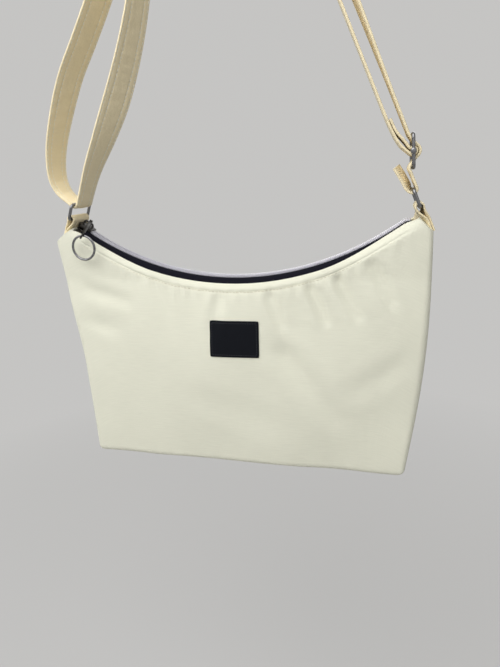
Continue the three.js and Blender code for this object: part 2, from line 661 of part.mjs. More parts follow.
/** End B: folded round the buckle's centre bar and sewn back onto itself. */
function strapEndB() {
  const layer = STRAP_THICKNESS + STRAP_GAP;
  const turn = arcPoints(new THREE.Vector2(0, 0), CENTRE_LOOP, THREE.MathUtils.degToRad(235), THREE.MathUtils.degToRad(-30), 14);
  const line = [
    ...splinePoints([
      [END_FOLD_LENGTH + LEAD, INNER_OUT],
      [END_FOLD_LENGTH, INNER_OUT],
      [END_FOLD_LENGTH * 0.6, INNER_OUT + 0.5],
      [END_FOLD_LENGTH * 0.25, INNER_OUT * 0.75],
      [END_FOLD_LENGTH * 0.08, INNER_OUT * 0.48],
      turn[0],
    ], 3).slice(0, -1),
    ...turn,
    ...splinePoints([
      turn.at(-1),
      [END_FOLD_LENGTH * 0.25, INNER_OUT * 0.75 + 1.7 * layer],
      [END_FOLD_LENGTH * 0.6, INNER_OUT + 0.5 + layer],
      [END_FOLD_LENGTH - LEAD, INNER_OUT + layer],
    ], 4).slice(1),
  ];
  return strapRibbon(line.map(atBuckle));
}

/** A bowed line from the left ring's bar up to the saddle. */
function leftRun(bows, saddle) {
  const lean = leanTo(LEFT_BAR, 0, saddle);
  const touch = new THREE.Vector2(SADDLE.x - saddle * Math.cos(lean), SADDLE.y + saddle * Math.sin(lean));
  const line = touch.clone().sub(LEFT_BAR);
  const side = new THREE.Vector2(-line.y, line.x).normalize();
  const points = bows.map(([share, bow]) => {
    const p = LEFT_BAR.clone().addScaledVector(line, share).addScaledVector(side, bow);
    return [p.x, p.y];
  });
  return { lean, points: [...points, [touch.x, touch.y]] };
}

const LEFT_LOOP_START = THREE.MathUtils.degToRad(200);
const LEFT_LOOP_END = THREE.MathUtils.degToRad(332);

/** From the right side over the saddle, down the left side and round the left ring's bar. */
function strapOuterRun() {
  const left = leftRun(OUTER_BOW, OUTER_SADDLE);
  const loop = arcPoints(LEFT_BAR, LOOP_RADIUS, LEFT_LOOP_START, LEFT_LOOP_END, 10);
  return strapRibbon([
    atBuckle([SPLIT + STRAP_GAP, OUTER_OUT]),
    ...arcPoints(SADDLE, OUTER_SADDLE, RIGHT_LEAN, Math.PI - left.lean, 20),
    ...splinePoints([...left.points.reverse(), loop[0]], 4).slice(1, -1),
    ...loop,
  ]);
}

/** From the left ring's bar up inside the outer run, over the saddle and down to the right side. */
function strapInnerRun() {
  const left = leftRun(INNER_BOW, INNER_SADDLE);
  const loopGap = STRAP_GAP / LOOP_RADIUS;
  const loop = arcPoints(LEFT_BAR, LOOP_RADIUS, LEFT_LOOP_END + loopGap, LEFT_LOOP_END + 2 * loopGap, 1);
  const foot = atBuckle([SPLIT + STRAP_GAP, INNER_OUT]);
  const knee = atBuckle([SPLIT + 2 * LEAD, INNER_OUT]);
  const rightLean = leanTo(new THREE.Vector2(...knee), 0, INNER_SADDLE);
  const over = arcPoints(SADDLE, INNER_SADDLE, Math.PI - left.lean, rightLean, 20);
  return strapRibbon([
    loop[0],
    ...splinePoints([loop[1], ...left.points], 5).slice(0, -1),
    ...over,
    knee,
    foot,
  ]);
}

// Tabs and hardware, drawn with z along the tab from the shoulder

/** A folded tab: two layers that open into a loop for the ring, with a tail in the seam. */
function tab() {
  const foot = TAB_THICKNESS + SEAM_GAP / 2;
  const inner = WIRE + TAB_LOOSENESS;
  const outer = inner + TAB_THICKNESS;
  const start = THREE.MathUtils.degToRad(-15);
  const outline = new THREE.Shape();
  outline.moveTo(-foot, -TAB_TAIL);
  outline.lineTo(foot, -TAB_TAIL);
  outline.lineTo(foot, TAB_RISE * 0.2);
  outline.absarc(0, TAB_RISE, outer, start, Math.PI - start);
  outline.lineTo(-foot, TAB_RISE * 0.2);
  outline.closePath();
  const opening = new THREE.Path();
  opening.absarc(0, TAB_RISE, inner, start, Math.PI - start);
  opening.lineTo(0, TAB_RISE * 0.4);
  opening.closePath();
  outline.holes.push(opening);
  return slabXZ(outline, STRAP_WIDTH, 12);
}

function ring() {
  const geometry = wireRectangle(HARDWARE_HALF, RING_PITCH / 2, RING_CORNER, WIRE);
  geometry.translate(0, 0, TAB_RISE + RING_PITCH / 2);
  return geometry;
}

function buckleFrame() {
  return wireRectangle(HARDWARE_HALF, BUCKLE_PITCH, RING_CORNER, WIRE);
}

/** The buckle's centre bar, with a collar clinched round each side of the frame. */
function buckleCentreBar() {
  const bar = new THREE.CylinderGeometry(WIRE, WIRE, 2 * HARDWARE_HALF - 2 * WIRE, 10);
  const bore = WIRE + SEAM_GAP;
  const rail = (radius, side) => {
    const tube = new THREE.CylinderGeometry(radius, radius, COLLAR_LENGTH + (radius === bore ? 2 : 0), 12);
    tube.rotateX(Math.PI / 2);
    tube.translate(0, side * HARDWARE_HALF, 0);
    return tube;
  };
  const collars = [-1, 1].map((side) => rail(bore + COLLAR_WALL, side));
  const bores = [-1, 1].map((side) => rail(bore, side));
  return geometryOf(joined([bar, ...collars]).subtract(joined(bores)));
}

// Assembly

const part = new THREE.Group();
const bag = new THREE.Group();
bag.position.z = BAG_DROP;
part.add(bag);

function place(parent, name, geometry, material) {
  const mesh = new THREE.Mesh(geometry, material);
  mesh.name = name;
  parent.add(mesh);
  return mesh;
}

place(bag, 'front_panel', frontPanel(), CREAM);
place(bag, 'back_panel', backPanel(), CREAM);
place(bag, 'back_hem', backHem(), CREAM);
place(bag, 'front_lining', lining(-1), LINING_CLOTH);
place(bag, 'back_lining', lining(1), LINING_CLOTH);
place(bag, 'label_patch', labelPatch(), BLACK_WEAVE);
place(bag, 'zip_tape_front', zipTape(-1), TAPE_BLACK);
place(bag, 'zip_tape_back', zipTape(1), TAPE_BLACK);
place(bag, 'zip_coil_front', zipCoil(-1), COIL_SILVER);
place(bag, 'zip_coil_back', zipCoil(1), COIL_SILVER);

const chain = new THREE.Group();
chain.position.z = MOUTH_CENTRE;
chain.rotation.y = SLIDER_REST;
bag.add(chain);
const runner = new THREE.Group();
runner.position.z = -MOUTH_RADIUS;
chain.add(runner);
place(runner, 'zip_slider', slider(), GUNMETAL);
place(runner, 'pull_link', pullLink(), GUNMETAL);
const hanging = place(runner, 'pull_ring', pullRing(), GUNMETAL);
hanging.position.set(
  LINK_SHIFT + LINK_REACH * Math.sin(LINK_SKEW), FRONT_EYE.x * Math.cos(LINK_SKEW), FRONT_EYE.y,
);
hanging.rotation.y = -SLIDER_REST;

for (const [side, word] of [[-1, 'left'], [1, 'right']]) {
  const corner = new THREE.Group();
  corner.position.set(side * TAB_X, 0, TAB_Z);
  corner.rotation.y = -side * TAB_LEAN;
  bag.add(corner);
  place(corner, `${word}_tab`, tab(), CREAM);
  place(corner, `${word}_ring`, ring(), GUNMETAL);
}

const buckle = new THREE.Group();
buckle.position.set(BUCKLE_BAR.x, 0, BUCKLE_BAR.y);
buckle.rotation.y = BUCKLE_TILT - RIGHT_LEAN;
part.add(buckle);
place(buckle, 'buckle_frame', buckleFrame(), GUNMETAL);
place(buckle, 'buckle_centre_bar', buckleCentreBar(), GUNMETAL);

place(part, 'strap_end_a', strapEndA(), CREAM);
place(part, 'strap_weave', strapWeave(), CREAM);
place(part, 'strap_right_outer', strapRightOuter(), CREAM);
place(part, 'strap_outer_run', strapOuterRun(), CREAM);
place(part, 'strap_inner_run', strapInnerRun(), CREAM);
place(part, 'strap_right_inner', strapRightInner(), CREAM);
place(part, 'strap_end_b', strapEndB(), CREAM);

// Where the moving pieces turn and slide, for whoever rigs the model
part.userData.pivots = {
  leftRingBar: [LEFT_BAR.x, 0, LEFT_BAR.y],
  rightRingBar: [RIGHT_BAR.x, 0, RIGHT_BAR.y],
  leftTabLoop: [-RING_LOW.x, 0, RING_LOW.y + BAG_DROP],
  rightTabLoop: [RING_LOW.x, 0, RING_LOW.y + BAG_DROP],
  zipCentre: [0, 0, MOUTH_CENTRE + BAG_DROP],
  buckleBar: [BUCKLE_BAR.x, 0, BUCKLE_BAR.y],
  buckleAxis: [ALONG.x, 0, ALONG.y],
};

export default part;
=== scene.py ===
"""Dresses the crossbody bag's solids: soft canvas, zip, stitched strap and gunmetal hardware."""

from __future__ import annotations

import logging
import math
from collections.abc import Iterator
from contextlib import contextmanager
from dataclasses import dataclass
from enum import Enum

import bmesh
import bpy
import numpy as np
from bpy.types import ID, Material, Mesh, Node, NodeSocket, Object, World
from mathutils import Matrix, Vector

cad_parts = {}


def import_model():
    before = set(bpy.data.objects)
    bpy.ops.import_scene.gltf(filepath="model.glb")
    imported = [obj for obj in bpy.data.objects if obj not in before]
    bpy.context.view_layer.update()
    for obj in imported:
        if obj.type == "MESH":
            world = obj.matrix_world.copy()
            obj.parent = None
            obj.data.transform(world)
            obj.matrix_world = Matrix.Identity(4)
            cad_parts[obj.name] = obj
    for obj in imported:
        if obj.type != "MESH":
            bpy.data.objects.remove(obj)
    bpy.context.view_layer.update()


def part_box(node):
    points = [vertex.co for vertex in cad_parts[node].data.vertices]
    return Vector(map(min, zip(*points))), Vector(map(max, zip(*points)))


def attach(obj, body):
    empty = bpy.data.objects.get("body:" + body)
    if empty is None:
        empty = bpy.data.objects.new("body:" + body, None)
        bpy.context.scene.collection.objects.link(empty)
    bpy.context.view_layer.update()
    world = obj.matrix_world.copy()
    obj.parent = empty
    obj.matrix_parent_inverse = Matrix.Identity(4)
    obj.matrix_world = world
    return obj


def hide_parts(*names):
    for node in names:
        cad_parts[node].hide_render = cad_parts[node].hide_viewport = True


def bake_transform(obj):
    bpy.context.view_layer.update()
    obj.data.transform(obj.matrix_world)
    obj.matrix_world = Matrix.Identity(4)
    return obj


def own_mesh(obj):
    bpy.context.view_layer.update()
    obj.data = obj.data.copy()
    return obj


LOG = logging.getLogger("crossbody_bag")
MM = 0.001
FULL_TURN = 2 * math.pi
HANG_HEIGHT = 531.0
WELD = 2e-6
SPECK = 1e-6

Array = np.ndarray
Triple = tuple[float, float, float]
Colour = Triple
Spot = tuple[float, float]


class Way(Enum):
    """A choice with a word for the names of pieces."""

    @property
    def word(self) -> str:
        """The choice's word."""
        return self.name.lower()


class Side(Way):
    """The front or the back of the bag, as the sign of its Y."""

    FRONT = -1
    BACK = 1


class End(Way):
    """The left or the right end of the bag, as the sign of its X."""

    LEFT = -1
    RIGHT = 1


# Lines and soft steps


def row_frame(points: Array) -> Array:
    """Turns points in the bag's millimetres above its base into metres below the hanging point."""
    return (np.asarray(points, float) - (0.0, 0.0, HANG_HEIGHT)) * MM


def leaned(points: Array, lean: float, centre: Spot) -> Array:
    """Turns points about Y, then moves them.

    Args:
        points: An array whose last axis is x, y, z.
        lean: The turn in radians.
        centre: Where the origin goes, as x and z.

    Returns:
        The moved points.
    """
    x, y, z = np.moveaxis(points, -1, 0)
    c, s = math.cos(lean), math.sin(lean)
    return np.stack([x * c + z * s + centre[0], y, z * c - x * s + centre[1]], axis=-1)


def mixed(t: float, start: float, end: float, first: Array, second: Array) -> Array:
    """A point between two others, by where a mark lies between their own marks."""
    return (end - t) / (end - start) * first + (t - start) / (end - start) * second


def spline(points: list[tuple[float, ...]], steps: int) -> Array:
    """A smooth centripetal line through points.

    Args:
        points: The points to pass through.
        steps: Points made for each stretch between two of them.

    Returns:
        The line's points, ends included.
    """
    given = np.array(points, float)
    path = np.vstack([2 * given[0] - given[1], given, 2 * given[-1] - given[-2]])
    out = []
    for i in range(1, len(path) - 2):
        p0, p1, p2, p3 = path[i - 1 : i + 3]
        t0 = 0.0
        t1 = t0 + math.sqrt(np.linalg.norm(p1 - p0))
        t2 = t1 + math.sqrt(np.linalg.norm(p2 - p1))
        t3 = t2 + math.sqrt(np.linalg.norm(p3 - p2))
        for t in np.linspace(t1, t2, steps, endpoint=False):
            a1 = mixed(t, t0, t1, p0, p1)
            a2 = mixed(t, t1, t2, p1, p2)
            a3 = mixed(t, t2, t3, p2, p3)
            b1 = mixed(t, t0, t2, a1, a2)
            b2 = mixed(t, t1, t3, a2, a3)
            out.append(mixed(t, t1, t2, b1, b2))
    out.append(given[-1])
    return np.array(out)


def lengths_along(line: Array) -> Array:
    """The distance from a line's start to each of its points."""
    return np.concatenate([[0], np.cumsum(np.linalg.norm(np.diff(line, axis=0), axis=1))])


def read_at(marks: Array, lengths: Array, values: Array) -> Array:
    """What the values at a line's points come to at marks along it."""
    return np.stack([np.interp(marks, lengths, column) for column in values.T], axis=1)


def evenly(line: Array, spacing: float) -> Array:
    """Spaces a line's points evenly.

    Args:
        line: The line's points.
        spacing: The rough distance between two points.

    Returns:
        The respaced points, with the same ends.
    """
    lengths = lengths_along(line)
    count = max(int(round(lengths[-1] / spacing)), 2)
    return read_at(np.linspace(0, lengths[-1], count + 1), lengths, line)


def arc(centre: Spot, radius: float, start: float, end: float, steps: int) -> Array:
    """Points on an arc in the XZ plane, with its angles in radians."""
    angles = np.linspace(start, end, steps + 1)
    return np.stack([centre[0] + radius * np.cos(angles), centre[1] + radius * np.sin(angles)], axis=1)


def eased(share: Array) -> Array:
    """Turns shares into a soft step from 0 to 1."""
    clipped = np.clip(share, 0, 1)
    return clipped * clipped * (3 - 2 * clipped)


def rise(value: Array, start: float, span: float) -> Array:
    """A soft step from 0 to 1 that begins at a start and takes up a span."""
    return eased((value - start) / span)


def bell(value: Array, middle: float, width: float) -> Array:
    """A soft bump, 1 at its middle, that falls away over a width."""
    return np.exp(-(((value - middle) / width) ** 2))


def hump(value: Array, height: float) -> Array:
    """One half wave over a height: 0 at both ends and 1 half way."""
    return np.sin(np.pi * np.clip(value / height, 0, 1))


# Meshes


def new_object(name: str, data: ID) -> Object:
    """Links a mesh, lamp or camera to the scene as an object at the origin.

    Args:
        name: The object's name.
        data: What it shows.

    Returns:
        The new object.
    """
    item = bpy.data.objects.new(name, data)
    bpy.context.scene.collection.objects.link(item)
    return item


def smooth(item: Object, degrees: float) -> None:
    """Shades a mesh smooth, apart from edges sharper than the angle."""
    item.data.polygons.foreach_set("use_smooth", [True] * len(item.data.polygons))
    item.data.set_sharp_from_angle(angle=math.radians(degrees))


def dressed(item: Object, finish: Material, degrees: float) -> Object:
    """Gives a piece its one finish and shades it smooth.

    Args:
        item: The piece.
        finish: Its material.
        degrees: Edges sharper than this angle stay sharp.

    Returns:
        The same piece.
    """
    item.data.materials.clear()
    item.data.materials.append(finish)
    smooth(item, degrees)
    return item


def applied(item: Object) -> Object:
    """Bakes an object's modifiers into its mesh and removes them.

    Args:
        item: The object whose modifiers are finished.

    Returns:
        The same object, with a plain mesh.
    """
    bpy.context.view_layer.update()
    graph = bpy.context.evaluated_depsgraph_get()
    mesh = bpy.data.meshes.new_from_object(item.evaluated_get(graph))
    item.modifiers.clear()
    old = item.data
    item.data = mesh
    bpy.data.meshes.remove(old)
    return item


@contextmanager
def edited(mesh: Mesh) -> Iterator[bmesh.types.BMesh]:
    """Opens a mesh for edits and writes it back at the end.

    Args:
        mesh: The mesh to change.

    Yields:
        Its editable form.
    """
    build = bmesh.new()
    build.from_mesh(mesh)
    yield build
    build.to_mesh(mesh)
    build.free()


def close_holes(build: bmesh.types.BMesh) -> None:
    """Fills every open rim of a mesh with a face."""
    rims = [edge for edge in build.edges if edge.is_boundary]
    bmesh.ops.holes_fill(build, edges=rims, sides=0)


def grid_object(
    name: str, points: Array, uv: Array, flip: bool, wrap: bool = False
) -> Object:
    """Makes a surface from rows and columns of points, with doubles welded.

    Args:
        name: The object's name.
        points: Rows by columns by 3, in metres in the row frame.
        uv: Rows by columns by 2, in metres along the cloth.
        flip: Turns the faces over.
        wrap: Closes the last column onto the first.

    Returns:
        The new object.
    """
    rows, columns = points.shape[:2]
    last = columns if wrap else columns - 1
    faces = []
    corners = []
    for i in range(rows - 1):
        for j in range(last):
            k = (j + 1) % columns
            quad = [(i, j), (i, k), (i + 1, k), (i + 1, j)]
            if flip:
                quad.reverse()
            faces.append([a * columns + b for a, b in quad])
            closing = wrap and j == last - 1
            corners.extend(uv[a, -1 if closing and b == 0 else b] for a, b in quad)
    mesh = bpy.data.meshes.new(name)
    mesh.from_pydata(points.reshape(-1, 3).tolist(), [], faces)
    layer = mesh.uv_layers.new(name="cloth")
    layer.data.foreach_set("uv", np.array(corners, np.float32).ravel())
    with edited(mesh) as build:
        bmesh.ops.remove_doubles(build, verts=build.verts, dist=WELD)
        bmesh.ops.dissolve_degenerate(build, edges=build.edges, dist=SPECK)
    mesh.update()
    return new_object(name, mesh)


def tube_object(name: str, rings: Array) -> Object:
    """Makes a closed body from rings of points, with a cap on each end.

    Args:
        name: The object's name.
        rings: Rings by points by 3, in metres.

    Returns:
        The new object.
    """
    count, sides = rings.shape[:2]
    faces = []
    for i in range(count - 1):
        for j in range(sides):
            k = (j + 1) % sides
            faces.append([i * sides + j, i * sides + k, (i + 1) * sides + k, (i + 1) * sides + j])
    faces.append(list(range(sides - 1, -1, -1)))
    faces.append([(count - 1) * sides + j for j in range(sides)])
    mesh = bpy.data.meshes.new(name)
    mesh.from_pydata(rings.reshape(-1, 3).tolist(), [], faces)
    with edited(mesh) as build:
        bmesh.ops.recalc_face_normals(build, faces=build.faces)
    return new_object(name, mesh)


def thickened(item: Object, thickness: float) -> Object:
    """Gives a surface a wall, inward from its faces.

    Args:
        item: The surface.
        thickness: The wall's thickness in millimetres.

    Returns:
        The same object, with its wall.
    """
    wall = item.modifiers.new("wall", "SOLIDIFY")
    wall.thickness = thickness * MM
    wall.offset = -1.0
    wall.use_rim = True
    wall.use_even_offset = False
    return applied(item)


def halves(item: Object) -> list[Object]:
    """Cuts a piece at the middle plane into two halves, each with its cut closed.

    Args:
        item: The whole piece, which is removed.

    Returns:
        The left half and the right half.
    """
    out = []
    for end in End:
        mesh = item.data.copy()
        with edited(mesh) as build:
            everything = build.verts[:] + build.edges[:] + build.faces[:]
            away = (-end.value, 0, 0)
            bmesh.ops.bisect_plane(
                build, geom=everything, plane_co=(0, 0, 0), plane_no=away, clear_outer=True, dist=1e-7
            )
            close_holes(build)
        half = new_object(f"{item.name}_{end.word}", mesh)
        smooth(half, 55.0)
        out.append(half)
    bpy.data.objects.remove(item)
    return out


# Materials


class NodeBook:
    """Writes the nodes of a material or of the world."""

    def __init__(self, owner: Material | World) -> None:
        """Opens the owner's nodes."""
        owner.use_nodes = True
        self.tree = owner.node_tree

    def node(self, kind: str, **settings: object) -> Node:
        """Adds a node and sets its properties.

        Args:
            kind: The node's type.
            settings: Its properties by name.

        Returns:
            The new node.
        """
        item = self.tree.nodes.new(kind)
        for key, value in settings.items():
            setattr(item, key, value)
        return item

    def link(self, source: NodeSocket, target: NodeSocket) -> None:
        """Joins two sockets."""
        self.tree.links.new(source, target)

    def math(self, operation: str, first: object, second: object = 0.0) -> NodeSocket:
        """Adds a sum on sockets or numbers.

        Args:
            operation: The Math node's operation.
            first: A socket or a number.
            second: A socket or a number.

        Returns:
            The result's socket.
        """
        item = self.node("ShaderNodeMath", operation=operation)
        for socket, value in zip(item.inputs, (first, second)):
            if isinstance(value, NodeSocket):
                self.link(value, socket)
            else:
                socket.default_value = float(value)
        return item.outputs[0]

    def times(self, first: object, second: object) -> NodeSocket:
        """Multiplies sockets or numbers."""
        return self.math("MULTIPLY", first, second)

    def plus(self, first: object, second: object) -> NodeSocket:
        """Adds sockets or numbers."""
        return self.math("ADD", first, second)

    def seen_rays(self) -> NodeSocket:
        """Tells the rays that show a surface, from the camera or by way of metal, from the rest.

        Returns:
            The socket, 1 for such rays.
        """
        rays = self.node("ShaderNodeLightPath").outputs
        metal = self.math("MAXIMUM", rays["Is Glossy Ray"], rays["Is Transmission Ray"])
        return self.math("MAXIMUM", rays["Is Camera Ray"], metal)

    def mix(
        self, share: NodeSocket, first: Node, second: Node, leave: str
    ) -> None:
        """Sends a mix of two shaders to the tree's output.

        Args:
            share: The share of the second shader.
            first: The first shader.
            second: The second shader.
            leave: The output node's name.
        """
        item = self.node("ShaderNodeMixShader")
        for source, socket in zip((share, first.outputs[0], second.outputs[0]), item.inputs):
            self.link(source, socket)
        self.link(item.outputs[0], self.tree.nodes[leave].inputs["Surface"])


class Paint(NodeBook):
    """Writes one material's nodes around its surface shader."""

    def __init__(self, name: str) -> None:
        """Starts a material with a plain surface shader.

        Args:
            name: Its name.
        """
        self.material = bpy.data.materials.new(name)
        super().__init__(self.material)
        self.shader = self.tree.nodes["Principled BSDF"]

    def set(self, **values: object) -> None:
        """Sets numbers and colours on the shader's own sockets, named with low lines for spaces."""
        for key, value in values.items():
            self.shader.inputs[key.replace("_", " ")].default_value = value

    def noise(
        self, scale: float, detail: float = 2.0, vector: NodeSocket | None = None
    ) -> NodeSocket:
        """Adds a noise in the piece's own metres, or on a given vector.

        Args:
            scale: Waves in a metre.
            detail: Layers of finer noise.
            vector: Where the noise is read, if not on the piece.

        Returns:
            The noise's socket.
        """
        item = self.node("ShaderNodeTexNoise")
        item.inputs["Scale"].default_value = scale
        item.inputs["Detail"].default_value = detail
        if vector is None:
            vector = self.node("ShaderNodeTexCoord").outputs["Object"]
        self.link(vector, item.inputs["Vector"])
        return item.outputs["Fac"]

    def tint(self, value: NodeSocket, colour: Colour, low: float, high: float) -> None:
        """Colours the surface: a colour made darker and lighter over a value.

        Args:
            value: The value that goes from dark to light.
            colour: The colour between them.
            low: The dark end, as a share of the colour.
            high: The light end, as a share of the colour.
        """
        item = self.node("ShaderNodeValToRGB")
        for element, place, share in zip(item.color_ramp.elements, (0.25, 0.75), (low, high)):
            element.position = place
            element.color = (*(min(c * share, 1.0) for c in colour), 1.0)
        self.link(value, item.inputs["Fac"])
        self.link(item.outputs["Color"], self.shader.inputs["Base Color"])

    def bump(self, height: NodeSocket, distance: float, strength: float) -> None:
        """Sends a height to the shader's normal.

        Args:
            height: The height's socket.
            distance: The metres that a height of 1 stands for.
            strength: The share of the relief that shows.
        """
        item = self.node("ShaderNodeBump")
        item.inputs["Distance"].default_value = distance
        item.inputs["Strength"].default_value = strength
        self.link(height, item.inputs["Height"])
        self.link(item.outputs["Normal"], self.shader.inputs["Normal"])


@dataclass(frozen=True)
class Cloth:
    """A plain weave on the cloth's own UV, in metres: ribs across the cloth and finer warp threads."""

    name: str
    colour: Colour
    rib: float = 0.0009
    warp: float = 0.0006
    depth: float = 0.00016
    roughness: float = 0.88
    gloss: float = 0.25
    sheen: float = 0.12
    tone: float = 0.05
    pucker: float = 0.0
    waver: float = 0.0012
    waver_scale: float = 90.0
    rib_share: float = 0.3
    warp_share: float = 0.15
    slub_share: float = 0.7
    slub_across: float = 70.0
    slub_along: float = 1100.0
    pucker_scale: float = 150.0
    patch_scale: float = 22.0
    patch_share: float = 0.45
    relief: float = 0.8

    def material(self) -> Material:
        """Builds the nodes.

        Returns:
            The material.
        """
        paint = Paint(self.name)
        split = paint.node("ShaderNodeSeparateXYZ")
        paint.link(paint.node("ShaderNodeUVMap", uv_map="cloth").outputs["UV"], split.inputs[0])
        across = split.outputs[0]
        along = paint.plus(split.outputs[1], paint.times(paint.noise(self.waver_scale), self.waver))
        ribs = paint.math("SINE", paint.times(along, FULL_TURN / self.rib))
        threads = paint.math("SINE", paint.times(across, FULL_TURN / self.warp))
        weave = paint.plus(paint.times(ribs, self.rib_share), paint.times(threads, self.warp_share))
        streaks = paint.node("ShaderNodeCombineXYZ")
        paint.link(paint.times(across, self.slub_across), streaks.inputs[0])
        paint.link(paint.times(along, self.slub_along), streaks.inputs[1])
        slub = paint.noise(1.0, 3.0, streaks.outputs[0])
        grain = paint.plus(weave, paint.times(slub, self.slub_share))
        if self.pucker:
            rumple = paint.times(paint.noise(self.pucker_scale), self.pucker / self.depth)
            grain = paint.plus(grain, rumple)
        paint.bump(grain, self.depth, self.relief)
        patch = paint.times(paint.noise(self.patch_scale, 4.0), self.patch_share)
        blotch = paint.plus(patch, paint.times(slub, 1.0 - self.patch_share))
        paint.tint(blotch, self.colour, 1.0 - self.tone, 1.0 + self.tone)
        paint.set(Roughness=self.roughness, Specular_IOR_Level=self.gloss)
        paint.set(Sheen_Weight=self.sheen, Sheen_Roughness=0.5)
        return paint.material


@dataclass(frozen=True)
class Metal:
    """A plated metal with fine wear in its gloss."""

    name: str
    colour: Colour
    roughness: float = 0.26
    wear: float = 0.16
    wear_scale: float = 900.0
    tone_scale: float = 420.0
    grain: float = 0.00002
    grain_scale: float = 2600.0

    def material(self) -> Material:
        """Builds the nodes.

        Returns:
            The material.
        """
        paint = Paint(self.name)
        paint.tint(paint.noise(self.tone_scale, 4.0), self.colour, 0.85, 1.2)
        wear = paint.times(paint.noise(self.wear_scale, 3.0), self.wear)
        rough = paint.plus(wear, self.roughness - self.wear / 2)
        paint.link(rough, paint.shader.inputs["Roughness"])
        paint.set(Metallic=1.0)
        paint.bump(paint.noise(self.grain_scale), self.grain, 0.4)
        return paint.material


@dataclass(frozen=True)
class Thread:
    """A twisted sewing thread or a coated coil, in one colour with small changes of tone."""

    name: str
    colour: Colour
    roughness: float = 0.7
    metallic: float = 0.0
    tone_scale: float = 700.0
    twist: float = 0.00005
    twist_scale: float = 3500.0

    def material(self) -> Material:
        """Builds the nodes.

        Returns:
            The material.
        """
        paint = Paint(self.name)
        paint.tint(paint.noise(self.tone_scale, 3.0), self.colour, 0.88, 1.1)
        paint.set(Roughness=self.roughness, Metallic=self.metallic)
        paint.bump(paint.noise(self.twist_scale, 1.0), self.twist, 0.5)
        return paint.material


class Finishes:
    """Every finish on the bag, made once."""

    def __init__(self) -> None:
        """Builds the materials."""
        black = {"gloss": 0.1, "sheen": 0.0}
        bare = {"rib": 0.0007, "warp": 0.0005, "gloss": 0.12, "sheen": 0.0}
        self.canvas = Cloth("cream_canvas", (0.79, 0.785, 0.65)).material()
        # The strap canvas, which the tabs share, is the bag's canvas made warmer and lighter: painted warm
        # bounce light, as from a brown wall.
        self.webbing = Cloth("strap_canvas", (0.89, 0.775, 0.52), depth=0.00004, pucker=0.0007).material()
        self.lining = Cloth("lining_cotton", (0.74, 0.72, 0.64), rib=0.0007, depth=0.0001).material()
        self.label = Cloth("label_weave", (0.006, 0.007, 0.010), **bare).material()
        self.tape = Cloth("zip_tape", (0.006, 0.006, 0.011), rib=0.0012, warp=0.0012, **black).material()
        # The hem thread is darker than the canvas: painted shade of the groove along the hem's stitches.
        self.hem_thread = Thread("hem_thread", (0.70, 0.665, 0.53)).material()
        self.thread = Thread("cream_thread", (0.90, 0.865, 0.74)).material()
        self.black_thread = Thread("black_thread", (0.02, 0.021, 0.026)).material()
        self.coil = Thread("silver_coil", (0.80, 0.79, 0.85), roughness=0.32, metallic=0.55).material()
        self.gunmetal = Metal("gunmetal", (0.20, 0.20, 0.205)).material()
        self.black_nickel = Metal("black_nickel", (0.05, 0.048, 0.045), roughness=0.3).material()


# Repeats along a path


@dataclass
class Places:
    """Where copies of a small shape go: points in metres, the way each runs and the way its top faces."""

    points: Array
    run: Array
    face: Array

    @staticmethod
    def along(line: Array, face: Array, spacing: float) -> Places:
        """Spaces copies evenly along a line.

        Args:
            line: Points in metres.
            face: The outward direction at each point.
            spacing: The distance between two copies in millimetres.

        Returns:
            The places.
        """
        lengths = lengths_along(line)
        count = max(int(lengths[-1] / (spacing * MM)), 1)
        marks = (np.arange(count) + 0.5) * lengths[-1] / count
        near = spacing * MM * 0.2
        run = read_at(marks + near, lengths, line) - read_at(marks - near, lengths, line)
        return Places(read_at(marks, lengths, line), run, read_at(marks, lengths, face))

    @staticmethod
    def gathered(several: list[Places]) -> Places:
        """Puts several sets of places together."""
        points, run, face = ([getattr(p, key) for p in several] for key in ("points", "run", "face"))
        return Places(np.vstack(points), np.vstack(run), np.vstack(face))


